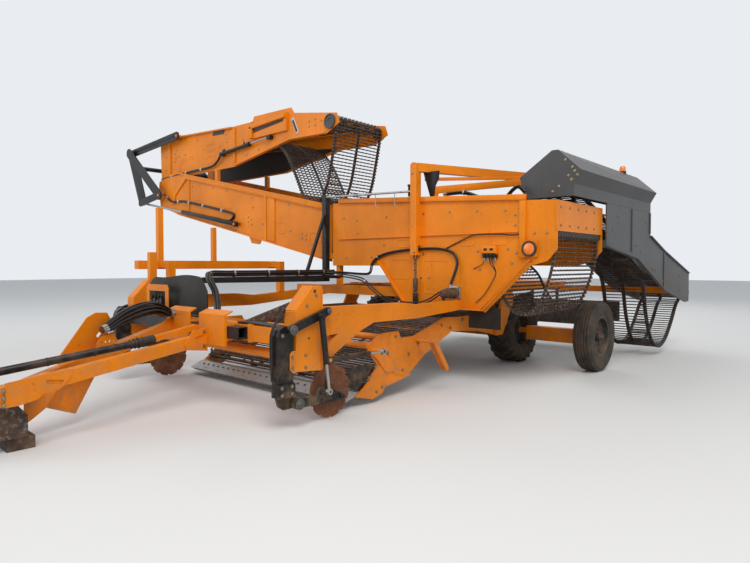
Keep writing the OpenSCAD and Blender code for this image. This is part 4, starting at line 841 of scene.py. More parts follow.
def strand(route, off, up, spread):
    """A run beside a route, off by (side, up) times what spread says along it."""
    p = smooth_route(route)
    out = []
    for i, at in enumerate(p):
        t = (p[min(i + 1, len(p) - 1)] - p[max(i - 1, 0)]).normalized()
        side = t.cross(Vector(up)).normalized()
        out.append(at + (side * off[0] + side.cross(t) * off[1]) * spread(i / (len(p) - 1)))
    return out


def hose_run(name, route, offsets, d, up=X, body="chassis", replaces=(), spread=lambda t: 1.0, ties=(),
             ends=(True, True)):
    """A bundle of hoses with its ties and crimped ends."""
    rubber, metal, bands = Mould(), Mould(), Mould()
    for off in offsets:
        line = strand(route, off, up, spread)
        rubber.tube(line, d, 10)
        for flag, at, toward in ((ends[0], line[0], line[1]), (ends[1], line[-1], line[-2])):
            if flag:
                metal.lathe(at, (toward - at).normalized(), [
                    (d * 0.62, 0), (d * 0.62, 0.02), (d * 0.56, 0.024), (d * 0.56, 0.055), (d * 0.4, 0.058)], 12)
    rubber.piece(name, "hose rubber", body, replaces)
    metal.piece(name + "_crimps", "worn steel", body)
    line = smooth_route(route)
    wide = max(Vector(o).length for o in offsets) + d / 2 + 0.003
    for i in (int(share * (len(line) - 2)) for share in ties):
        bands.revolve(line[i], (line[i + 1] - line[i]).normalized(), [
            (wide - 0.004, -0.012), (wide, -0.012), (wide, 0.012), (wide - 0.004, 0.012)], 20, ring=True)
    if ties:
        bands.piece(name + "_ties", "worn steel", body)


def clips(name, body, route, shares, d=0.06):
    """White clips that hold a hose run."""
    line = smooth_route(route)
    mould = Mould()
    for i in (min(int(share * (len(line) - 1)), len(line) - 2) for share in shares):
        t = (line[i + 1] - line[i]).normalized()
        mould.box_along(line[i] - t * 0.02, line[i] + t * 0.02, d, d, X)
    mould.piece(name, "white clip", body, bevel=0.006)


class HARVESTER_OT_hoses(bpy.types.Operator):
    """Hydraulic hoses in clipped bundles, with their crimps and ties"""

    bl_idname = "harvester.hoses"
    bl_label = "Hoses"

    def execute(self, context):
        hose_run("front_hoses", FRONT_HOSE, [(0.0, -0.017), (-0.004, 0.012), (0.014, -0.002)], 0.02,
                 replaces=["hoses"], ties=(0.34, 0.6), ends=(False, True))
        hose_run("motor_hoses", LOW_HOSE, [(-0.018, 0.0), (0.018, 0.004)], 0.022,
                 replaces=["hoses"], ties=(0.3, 0.62), ends=(False, True))
        around = [k * math.tau / 6 + 0.3 for k in range(6)]
        ring = [(0.0, 0.0)] + [(math.cos(a) * 0.03, math.sin(a) * 0.03) for a in around]
        hose_run("tray_hoses", TRAY_HOSE, ring, 0.027, (0.3, 1, 0),
                 replaces=["hoses"], ties=(0.08, 0.25, 0.42, 0.6, 0.75), ends=(False, True))
        fan = [(x * 0.022, y + 0.004 * math.cos(x * 2)) for y, row in (
            (-0.016, (-1.5, -0.5, 0.5, 1.5)), (0.004, (-2, -1, 0, 1, 2)), (0.026, (-1.5, -0.5, 0.5, 1.5)),
            (0.046, (-1, 0, 1))) for x in row]
        hose_run("tongue_loop_hoses", TONGUE_HOSE, fan, 0.023, Z, "tongue", ["tongue_hoses"],
                 spread=lambda t: 0.75 + 1.15 * math.sin(math.pi * t))
        # Thin lines on the trough
        thin = Mould()
        thin.line([(2.112, 1.5, 1.83), (2.118, 1.78, 1.94), (2.13, 1.98, 2.0), (2.13, 2.3, 1.995), (2.128, 2.5, 1.975),
                   (2.125, 2.66, 1.985)], 0.016)
        thin.line([(2.13, 2.13, 1.70), (2.135, 2.1, 1.62), (2.12, 2.02, 1.58), (2.11, 1.94, 1.55)], 0.01, sides=6)
        for dx in (0.0, 0.03):
            thin.line([(2.16, 2.2 + dx, 1.7), (2.17, 2.24 + dx, 1.6), (2.15, 2.3, 1.5), (2.13, 2.22, 1.36),
                       (2.12, 2.1, 1.2), (2.12, 1.98, 1.1)], 0.012, sides=6)
        thin.piece("trough_lines", "hose rubber")
        return {"FINISHED"}


# Trough

TROUGH_BOLTS = [
    (1.1, 2.33), (1.55, 2.325), (1.98, 2.31), (2.4, 2.29), (2.54, 2.23), (2.54, 2.1), (2.8, 1.99), (2.96, 1.99),
    (1.1, 1.755), (1.6, 1.755), (1.06, 1.42), (1.2, 1.42), (2.03, 1.54), (2.0, 1.78), (2.44, 1.8), (0.35, 1.9),
    (-0.2, 2.1), (-0.2, 2.3), (0.4, 2.32), (-0.5, 2.35), (2.56, 1.75), (2.5, 1.62), (0.1, 1.72), (-0.45, 1.72)]
BRISTLES = 46
MOTOR_AT = (2.118, 1.65, 1.22)
TAIL_LAMP = (-3.89, 3.1, 1.06)


def trough_top(y):
    """Height of the trough's top edge."""
    return 2.38 + (3.09 - y) * (2.61 - 2.38) / 3.85


class HARVESTER_OT_trough(bpy.types.Operator):
    """Folds, pressings, bolts, valve block, chain motor, brush and lamps of the trough"""

    bl_idname = "harvester.trough"
    bl_label = "Trough"

    def execute(self, context):
        front, under = TROUGH_X, TROUGH_X - 0.002
        trim = Mould()
        # Top fold, lip under the upper sheet and the upright fold near the end
        for y0, y1 in ((-0.6, 0.94), (1.06, 2.69)):
            trim.sweep([(front, y, trough_top(y)) for y in (y0, y1)], oblong(-0.07, 0.0, -0.002, 0.034), X)
        for y0, y1 in ((-0.6, 0.94), (1.06, 2.61)):
            trim.block(under, y0, 2.008, front + 0.022, y1, 2.022)
        trim.block(under, 2.61, 1.69, front + 0.034, 2.69, trough_top(2.69) - 0.004)
        trim.block(under, 3.07, 2.02, front + 0.012, 3.09, 2.37)
        # Bevelled flange down the slanted edge of the drive's panel
        trim.sweep([(front, 2.735, 1.648), (front, 2.075, 1.014)], [(-0.06, -0.002), (0.0, -0.002), (0.0, 0.068)], X)
        trim.piece("trough_folds", "orange enamel", bevel=0.003)
        press = Mould()
        for box in ((1.72, 1.96, 1.86, 1.975), (2.2, 2.44, 1.86, 1.975), (0.62, 0.86, 1.86, 1.97),
                    (1.12, 1.54, 1.2, 1.66), (0.5, 0.86, 1.4, 1.68)):
            press.pressed(eased_box(*box, 0.045), front)
        press.piece("trough_pressings", "orange enamel")
        bolts("trough_bolts", on_x(front, TROUGH_BOLTS)
              + on_y(3.09, [(front - 0.1 - 0.26 * k, z) for z in (2.3, 2.08) for k in range(5)])
              + on_x(0.65, [(y, z) for y in (-0.5, 0.2, 0.9, 1.6) for z in (1.75, 2.3)], -1))
        # Brush under the end panel
        brush = Mould()
        for k in range(BRISTLES):
            x = 0.72 + k * 0.029
            brush.block(x, 3.072, 2.012 - (0.075 + 0.018 * math.sin(k * 2.3)), x + 0.024, 3.084, 2.03)
        brush.piece("end_brush", "black rubber")
        # Valve block: slotted bracket, with painted shade in its slots, over a row of valves
        plate = Mould().block(2.152, 2.08, 1.752, 2.16, 2.3, 1.85).block(2.1, 2.08, 1.842, 2.152, 2.3, 1.85)
        plate.block(2.1, 2.08, 1.74, 2.152, 2.088, 1.842).block(2.1, 2.292, 1.74, 2.152, 2.3, 1.842)
        plate.piece("valve_bracket", "orange enamel", replaces=["valve_block"], bevel=0.002)
        slot_shade_and_valves, plugs = Mould(), Mould()
        # Painted shade: thin black sheets on the bracket's face stand for the shade in its two slots
        for y in (2.145, 2.235):
            slot_shade_and_valves.prism(eased_box(y - 0.027, y + 0.027, 1.785, 1.817, 0.0155), 2.159, 2.1615)
        for y in (2.1 + 0.052 * k for k in range(4)):
            slot_shade_and_valves.block(2.102, y, 1.692, 2.15, y + 0.042, 1.745)
            slot_shade_and_valves.drum((2.15, y + 0.021, 1.72), X, 0.014, 0.02, 10)
            plugs.lathe((2.13, y + 0.021, 1.692), DOWN, [(0.013, 0), (0.013, 0.016), (0.009, 0.02), (0.009, 0.045)], 8)
        slot_shade_and_valves.piece("valve_bodies", "black enamel", replaces=["valve_block"])
        plugs.piece("valve_fittings", "worn steel")
        # Rusty chain motor with its gearbox, ports and mounting plate
        motor = Mould().lathe(MOTOR_AT, X, [
            (0.075, 0), (0.075, 0.03), (0.058, 0.036), (0.058, 0.11), (0.066, 0.115), (0.066, 0.135),
            (0.055, 0.14), (0.055, 0.19), (0.064, 0.195), (0.064, 0.225), (0.052, 0.232), (0.052, 0.285),
            (0.044, 0.3), (0.03, 0.311)], 28)
        motor.block(2.2, 1.61, 1.25, 2.27, 1.69, 1.292)
        motor.lathe((2.33, 1.62, 1.165), (0, -0.5, -0.8), [(0.028, 0), (0.028, 0.03), (0.022, 0.035)], 12)
        motor.piece("chain_motor_casting", "rusty casting", replaces=["chain_motor"], bevel=0.002)
        plate = Mould().prism(eased_box(1.56, 1.74, 1.13, 1.31, 0.02), 2.1, 2.12)
        plate.piece("chain_motor_plate", "worn steel", replaces=["chain_motor"], bevel=0.002)
        corners = [(MOTOR_AT[1] + a, MOTOR_AT[2] + b) for a in (-0.072, 0.072) for b in (-0.072, 0.072)]
        bolts("chain_motor_bolts", on_x(2.12, corners), size=0.02)
        # Lamps: one on the front plate, one on the elevator's tail, one on the hood
        ring, lens = Mould(), Mould()
        for at, axis, r in (((2.131, 2.75, 1.8), X, 0.097), (TAIL_LAMP, Y, 0.044), (TAIL_LAMP, (0, -1, 0), 0.044)):
            ring.revolve(at, axis, [(r * 0.74, 0), (r, 0), (r, 0.022), (r * 0.9, 0.03), (r * 0.76, 0.026)], ring=True)
            lens.revolve(at, axis, [(0, 0), (r * 0.75, 0), (r * 0.75, 0.02), (r * 0.6, 0.026), (r * 0.3, 0.03),
                                    (0, 0.031)])
        ring.lathe((-0.7, 2.9, 3.041), Z, [(0.056, 0), (0.056, 0.03), (0.045, 0.036)], 24)
        lens.revolve((-0.7, 2.9, 3.075), Z, [(0, 0), (0.046, 0), (0.048, 0.03), (0.045, 0.06), (0.034, 0.078),
                                             (0, 0.084)], 24)
        lens.block(-3.965, 3.075, 1.015, -3.82, 3.085, 1.105)
        ring.piece("lamp_rings", "black rubber", replaces=["lamps"])
        lens.piece("lamp_lenses", "orange lens", replaces=["lamps"])
        tab = Mould().prism(eased_box(-3.96, -3.822, 1.014, 1.106, 0.02), 3.088, 3.096, "xz")
        tab.piece("tail_lamp_bracket", "orange enamel", bevel=0.002)
        return {"FINISHED"}


# Booms and gantry

LOWER_BOOM_BOLTS = [
    (-0.92, 2.46), (-0.92, 2.28), (-0.92, 2.12), (-0.92, 1.9), (-1.57, 2.15), (-1.47, 2.12), (-1.57, 2.07),
    (-1.47, 2.04), (-2.7, 2.37), (-1.89, 2.2), (-3.15, 2.52), (-3.05, 2.47), (-3.15, 2.43), (-3.05, 2.38),
    (-3.02, 2.88), (-1.94, 2.68), (-2.99, 2.7), (-4.4, 3.2), (-4.4, 2.6), (-5.2, 3.3), (-1.4, 2.62), (-3.9, 3.1)]
UPPER_BOOM_BOLTS = [
    (-1.46, 4.09), (-1.3, 4.1), (-1.46, 4.0), (-1.3, 4.0), (-1.14, 4.05), (-6.05, 4.12), (-5.87, 4.05), (-4.84, 4.06),
    (-3.98, 4.1), (-4.23, 4.04), (-2.72, 4.13), (-2.56, 4.12), (-2.2, 4.11), (-3.42, 4.06), (-6.45, 4.4), (-6.45, 4.1),
    (-6.45, 3.8), (-6.02, 4.02), (-5.6, 4.05), (-3.3, 3.75), (-2.9, 3.8), (-4.1, 3.7), (-6.05, 3.95), (-5.95, 4.2),
    (-4.0, 4.25), (-5.1, 4.3)]
# Outer faces of the upper section's two sides, with the way they face
UPPER_SIDES = ((1.996, 1), (0.754, -1))
BOOM_SLOPE = math.tan(math.radians(12.25))
BOOM_HOSES = [(-0.014, 0), (0.014, 0), (0, 0.018)]


def boom_top(y, drop=0.0):
    """A point (y, z) that lies drop below the lower boom's top edge."""
    return y, 2.595 + (-0.83 - y) * BOOM_SLOPE - drop


def rollers(mould, xs, low, high, places, shaft, sides, wide=0.028):
    """A shaft from low to high and a wheel at each x, for places of (y, z, radius)."""
    for y, z, r in places:
        mould.rod((low, y, z), (high, y, z), shaft)
        for x in xs:
            mould.drum((x - wide / 2, y, z), X, r, wide, sides)


class HARVESTER_OT_booms(bpy.types.Operator):
    """Ribs, bolts, pressings, rollers, hose runs and the small cylinder of the boom's two sections"""

    bl_idname = "harvester.booms"
    bl_label = "Booms"

    def execute(self, context):
        trim = Mould()
        for x0, x1 in ((2.064, 2.086), (0.664, 0.686)):
            for y0, y1 in ((-2.56, -2.32), (-5.35, -5.3)):
                trim.prism([boom_top(y0, 0.9), boom_top(y1, 0.9), boom_top(y1, 0.032), boom_top(y0, 0.032)], x0, x1)
            # Lip along the top edge, and its fold down the slanted end
            low, high = (x0, x0 + 0.032) if x0 > 1 else (x1 - 0.032, x1)
            bend, foot = boom_top(-5.5, 0.028), boom_top(-5.42, 0.11)
            trim.prism([boom_top(-0.93, 0.1), boom_top(-0.93, 0.028), bend, foot], low, high)
            trim.prism([bend, (-5.98, 3.2), (-6.03, 2.98), (-5.95, 2.98), (-5.89, 3.17), foot], low, high)
        trim.prism([(-3.14, 2.15), (-3.06, 2.02), (-2.8, 1.99), (-2.74, 2.08)], 2.05, 2.062)
        trim.piece("lower_boom_ribs", "orange enamel", "boom", bevel=0.003)
        trim = Mould()
        for x, out in UPPER_SIDES:
            low, high = sorted((x - 0.001 * out, x + 0.03 * out))
            trim.prism([(-6.3, 3.62), (-6.22, 3.62), (-6.22, 4.46), (-6.3, 4.465)], low, high)
            trim.prism([(-3.72, 3.62), (-3.66, 3.61), (-3.66, 4.33), (-3.72, 4.335)], low, high)
        # Raised rim of the open box on each side
        for low, high in ((2.039, 2.085), (0.665, 0.711)):
            trim.prism([(-3.095, 4.022), (-3.02, 4.022), (-3.02, 4.21), (-3.095, 4.25)], low, high)
            trim.prism([(-3.095, 4.2), (-2.05, 4.25), (-2.05, 4.318), (-3.095, 4.289)], low, high)
        trim.piece("upper_boom_ribs", "orange enamel", "boom_tip", bevel=0.003)
        # Angular pressings
        upper, lower = Mould(), Mould()
        for x, out in ((1.995, 1), (0.755, -1)):
            for shape in ([(-5.9, 3.68), (-5.84, 3.86), (-5.7, 3.97), (-5.3, 3.98), (-5.3, 3.93), (-5.66, 3.92),
                           (-5.78, 3.83), (-5.82, 3.68)],
                          eased_box(-4.72, -4.4, 4.0, 4.13, 0.03), eased_box(-4.72, -4.4, 3.74, 3.88, 0.03)):
                upper.pressed(shape, x, out)
        upper.piece("upper_boom_pressings", "orange enamel", "boom_tip")
        for x, out in ((2.065, 1), (0.685, -1)):
            for box in ((-2.24, -2.02, 2.18, 2.37), (-1.36, -1.08, 1.96, 2.15), (-5.1, -4.86, 2.86, 2.99),
                        (-3.98, -3.72, 2.66, 2.74)):
                lower.pressed(eased_box(*box, 0.035), x, out)
        lower.piece("lower_boom_pressings", "orange enamel", "boom")
        bolts("lower_boom_bolts", on_x(2.066, LOWER_BOOM_BOLTS) + on_x(0.684, LOWER_BOOM_BOLTS, -1), "boom")
        bolts("upper_boom_bolts", on_x(1.996, UPPER_BOOM_BOLTS) + on_x(0.754, UPPER_BOOM_BOLTS, -1), "boom_tip")
        # Round guards at the tip, and the shafts and wheels at both ends of both chains
        guard = Mould()
        for x, out in UPPER_SIDES:
            guard.lathe((x, -0.93, 4.0), (out, 0, 0), [
                (0.124, -0.004), (0.124, 0.03), (0.112, 0.03), (0.10, 0.012), (0.06, 0.012), (0.05, 0)], 36)
        guard.piece("tip_guards", "grey enamel", "boom_tip")
        wheel = Mould()
        xs = (0.83, 1.1, 1.375, 1.65, 1.92)
        rollers(wheel, xs, 0.78, 1.97, [(-0.945, 3.99, 0.078)], 0.045, 16)
        rollers(wheel, xs, 0.78, 1.97, [(-6.545, 4.36, 0.052)], 0.05, 16)
        wheel.piece("tip_wheels", "rusty casting", "boom_tip")
        wheel = Mould()
        rollers(wheel, (0.76, 1.06, 1.375, 1.69, 1.99), 0.71, 2.04, [(-6.205, 2.909, 0.036), (-0.985, 1.776, 0.036)],
                0.035, 14)
        wheel.piece("lower_boom_wheels", "rusty casting", "boom")
        # Slotted adjuster, black sheets of painted shade in its slot, a window and the open boxes, and the tip's small
        # cylinder
        slot = Mould().box_along((2.0, -1.9, 4.22), (2.0, -1.76, 3.93), 0.075, 0.012, X)
        slot.piece("tip_adjuster", "white clip", "boom_tip", bevel=0.003)
        # Painted shade: thin black sheets stand for the shade inside the adjuster's slot, the window and the open boxes
        # within the raised rims
        dark = Mould().box_along((2.007, -1.885, 4.18), (2.007, -1.775, 3.96), 0.045, 0.004, X)
        dark.prism([(-4.5, 4.30), (-4.08, 4.275), (-4.04, 4.35), (-4.46, 4.385)], 1.9945, 1.999)
        for x in (2.0395, 0.708):
            dark.prism([(-3.015, 4.198), (-2.12, 4.24), (-2.12, 4.195), (-3.015, 4.12)], x, x + 0.0025)
        dark.piece("upper_boom_windows", "black rubber", "boom_tip")
        foot, eye = Vector((2.06, -4.05, 3.855)), Vector((2.06, -3.1, 3.925))
        ram = Mould().lathe(foot, eye - foot, [
            (0.043, 0), (0.043, 0.06), (0.036, 0.065), (0.036, 0.88), (0.045, 0.885), (0.045, 0.95)], 20)
        ram.block(1.996, -4.12, 3.82, 2.085, -4.02, 3.89).block(1.996, -2.56, 3.93, 2.085, -2.46, 4.0)
        ram.rod((2.05, -3.3, 3.95), (2.05, -3.3, 4.0), 0.03).rod((2.05, -3.98, 3.9), (2.05, -3.98, 3.95), 0.03)
        ram.piece("tip_cylinder", "black enamel", "boom_tip", bevel=0.003)
        Mould().rod(eye, (2.06, -2.52, 3.967), 0.034, 20).piece("tip_cylinder_rod", "chrome", "boom_tip")
        # Wide part of the fold arms, below the elbow
        arm = Mould()
        for low, high in ((2.223, 2.247), (0.503, 0.527)):
            arm.prism([(-7.84, 4.34), (-7.26, 3.08), (-6.98, 3.12), (-7.33, 3.93)], low, high)
        arm.piece("fold_arm_webs", "black enamel", "fold_arm", bevel=0.003)
        # Hose runs with white clips
        hose_run("upper_boom_hoses", UPPER_BOOM_HOSE, BOOM_HOSES, 0.022, body="boom_tip", ends=(False, True))
        clips("upper_boom_clips", "boom_tip", UPPER_BOOM_HOSE, (0.06, 0.22, 0.44, 0.66))
        hose_run("lower_boom_hoses", LOWER_BOOM_HOSE, BOOM_HOSES, 0.022, body="boom")
        clips("lower_boom_clips", "boom", LOWER_BOOM_HOSE, (0.2, 0.34, 0.52, 0.74))
        return {"FINISHED"}


def ring_link(mould, at, axis, long, wide, d):
    """One upright oval link of a load chain."""
    at, axis, along = Vector(at), Vector(axis), Vector(Z)
    side = axis.cross(along)
    straight = (long - wide) / 2
    route = []
    for t in (k * math.tau / 16 for k in range(16)):
        shift = straight if math.sin(t) > 0 else -straight
        route.append(at + side * math.cos(t) * (wide - d) / 2 + along * (math.sin(t) * (wide - d) / 2 + shift))
    mould.tube(route, d, closed=True)


HOOD_FRONT_BOLTS = [
    (3.04, 2.9), (3.13, 2.8), (3.16, 2.75), (3.19, 2.7), (3.08, 2.7), (3.12, 2.65), (2.96, 2.58), (2.88, 2.52)]
ELEVATOR_BOLTS = [
    (-1.45, 1.55), (-1.54, 1.5), (-1.62, 1.52), (-2.01, 1.33), (-2.28, 1.35), (-2.1, 1.27), (-2.37, 1.27), (-3.14, 1.4),
    (-0.87, 1.81), (-3.06, 1.14), (-3.16, 1.11), (-0.62, 1.9), (0.2, 2.3), (0.4, 2.1), (-1.1, 2.3)]
STAY_LINKS = 5


class HARVESTER_OT_gantry(bpy.types.Operator):
    """Stay chain, turnbuckle, cleaning arm, tube and hoses over the trough, and the elevator's folds"""

    bl_idname = "harvester.gantry"
    bl_label = "Gantry"

    def execute(self, context):
        x, y = 2.155, 1.0
        stay = Mould()
        ring_link(stay, (x, y, 1.715), X, 0.1, 0.07, 0.018)
        for k in range(STAY_LINKS):
            ring_link(stay, (x, y, 1.64 - 0.045 * k), X if k % 2 else Y, 0.068, 0.044, 0.012)
        stay.lathe((x, y, 1.42), DOWN, [(0.026, 0), (0.034, 0.02), (0.034, 0.19), (0.026, 0.21), (0.014, 0.2)], 14)
        stay.block(x - 0.008, y - 0.004, 1.16, x + 0.008, y + 0.06, 1.185)
        stay.piece("stay_chain", "rusty rods")
        strap = Mould().block(x - 0.016, y - 0.036, 0.985, x + 0.016, y + 0.036, 1.2)
        strap.drum((x - 0.03, y, 1.02), X, 0.03, 0.06)
        strap.block(x - 0.05, y - 0.02, 1.06, x - 0.016, y + 0.02, 1.1)
        strap.piece("stay_strap", "black enamel", bevel=0.004)
        tube = Mould().rod((2.165, -0.86, 2.715), (2.165, 0.95, 2.655), 0.032)
        for at in (0.24, 0.62):
            tube.tube([(2.165, at, 2.68), (2.168, at, 2.6), (2.172, at + 0.004, 2.5), (2.17, at + 0.03, 2.46)], 0.012)
        tube.piece("galvanised_tube", "worn steel")
        knob = Mould().block(2.12, 0.87, 2.64, 2.17, 0.945, 2.68)
        knob.revolve((2.145, 0.88, 2.68), Z, [(0, 0), (0.02, 0), (0.02, 0.05), (0.03, 0.055), (0.03, 0.08),
                                              (0, 0.085)], 10)
        knob.revolve((2.145, 0.88, 2.64), DOWN, [(0, 0), (0.022, 0), (0.022, 0.05), (0, 0.055)], 10)
        knob.piece("gantry_valve", "black enamel", bevel=0.002)
        # Arm under the top beam, with its dark gusset
        arm = Mould().box_along((1.985, 1.2, 2.665), (0.72, 2.05, 2.845), 0.055, 0.1)
        arm.box_along((2.02, 1.06, 2.83), (0.72, 1.99, 2.905), 0.012, 0.05)
        arm.block(1.93, 1.18, 2.40, 1.99, 1.24, 2.62)
        arm.piece("cleaning_arm", "orange enamel", bevel=0.004)
        gusset = Mould().prism([(1.035, 2.93), (1.31, 2.93), (1.3, 2.82), (1.24, 2.72), (1.22, 2.6), (1.16, 2.56)],
                               2.0, 2.02)
        gusset.piece("cleaning_gusset", "black enamel", bevel=0.002)
        hose_run("trough_top_hoses", TOP_HOSE, [(0, 0), (0.022, 0.004), (-0.018, 0.012), (0.004, -0.02)], 0.022, Z,
                 ties=(0.3, 0.55), ends=(True, False))
        # Pressed shape on the front of the gantry's post
        head = Mould().pressed(eased_box(0.97, 1.03, 1.95, 2.15, 0.02), 2.21, 1, 0.004, 0.006)
        head.piece("gantry_pressings", "orange enamel")
        bolts("gantry_and_hood_bolts", on_y(0.944, [(2.156, z) for z in (2.94, 2.86)], -1)
              + on_x(2.21, [(0.98, 2.9), (1.02, 1.78)]) + on_x(1.771, HOOD_FRONT_BOLTS) + on_y(3.151, ELEVATOR_BOLTS)
              + on_y(2.289, [(-1.5, 1.52), (-2.1, 1.3), (-3.1, 1.3), (-0.8, 2.0), (-1.1, 2.3)], -1), size=0.024)
        # Folded edges and a step along the elevator's outer sheet
        fold = Mould()
        for y in ((3.149 + 3.175) / 2, (2.265 + 2.291) / 2):
            fold.sweep([(-3.8, y, 1.452), (-2.11, y, 1.85), (-1.31, y, 2.08)], oblong(-0.013, 0.013, -0.02, 0.0), Z)
            fold.sweep([(-3.54, y, 0.892), (-2.15, y, 1.152), (-0.63, y, 1.696), (0.64, y, 1.846)],
                       oblong(-0.013, 0.013, 0.0, 0.02), Z)
        for at, low, high in ((-1.28, 2.1, 2.44), (-0.4, 1.8, 2.44), (-2.1, 1.2, 1.84)):
            fold.block(at, 3.149, low, at + 0.03, 3.165, high)
        fold.piece("elevator_folds", "grey enamel", bevel=0.002)
        return {"FINISHED"}


# Front, digger and tongue


def soft_sheet(columns, thick, toward):
    """A thin closed sheet over columns of points, thick towards one side."""
    n, m = len(columns), len(columns[0])
    front = [Vector(p) for column in columns for p in column]
    k = n * m
    faces = []
    for a in (i * m + j for i in range(n - 1) for j in range(m - 1)):
        faces += [(a, a + m, a + m + 1, a + 1), (a + 1 + k, a + m + 1 + k, a + m + k, a + k)]
    edge = [*range(m), *(i * m + m - 1 for i in range(1, n))]
    edge += [*((n - 1) * m + j for j in range(m - 2, -1, -1)), *(i * m for i in range(n - 2, 0, -1))]
    faces += [(a, b, b + k, a + k) for a, b in zip(edge, edge[1:] + edge[:1])]
    return Mould().add(front + [p + Vector(toward) * thick for p in front], faces)


CURTAIN_COLUMNS, CURTAIN_ROWS = 34, 10
CURTAIN_X, CURTAIN_LOW = 4.854, 0.9604
CURTAIN_START, CURTAIN_WIDE = -1.55, 1.49
PORT = [(0.016, 0), (0.016, 0.02), (0.01, 0.024)]
MAST_BOLTS = [
    (5.22, 1.806, 0.44), (5.1, 1.806, 0.44), (5.22, 1.806, 0.37), (5.1, 1.806, 0.37), (5.19, 1.781, 0.93),
    (5.085, 1.801, 0.72), (5.085, 1.801, 0.61), (4.92, 1.801, 0.72), (4.92, 1.801, 0.6), (4.9, 1.801, 1.2),
    (4.78, 1.801, 1.3), (5.0, 1.801, 1.05)]
DISC_BOLTS = 5
DISC_BOLT_CIRCLE = 0.078


def curtain_point(i, j):
    """A point of the rubber curtain, which bellies a little and has round, sagging top corners."""
    u, v = i / (CURTAIN_COLUMNS - 1), j / (CURTAIN_ROWS - 1)
    edge = min(u, 1 - u) * CURTAIN_WIDE
    high = 1.455 - 0.13 * max(0.0, 1 - edge / 0.2) ** 2 - 0.02 * math.sin(u * 7)
    if u > 0.9:
        high -= 0.03 * (u - 0.9) / 0.1
    wave = 0.022 * math.sin(math.pi * v) * math.sin(u * 9.4 + 0.4) * (0.3 + j / 14)
    lean = 0.035 * v ** 2 * (0.5 + 0.5 * math.sin(u * 5))
    return CURTAIN_X + wave - lean, CURTAIN_START + CURTAIN_WIDE * u, CURTAIN_LOW + (high - CURTAIN_LOW) * v


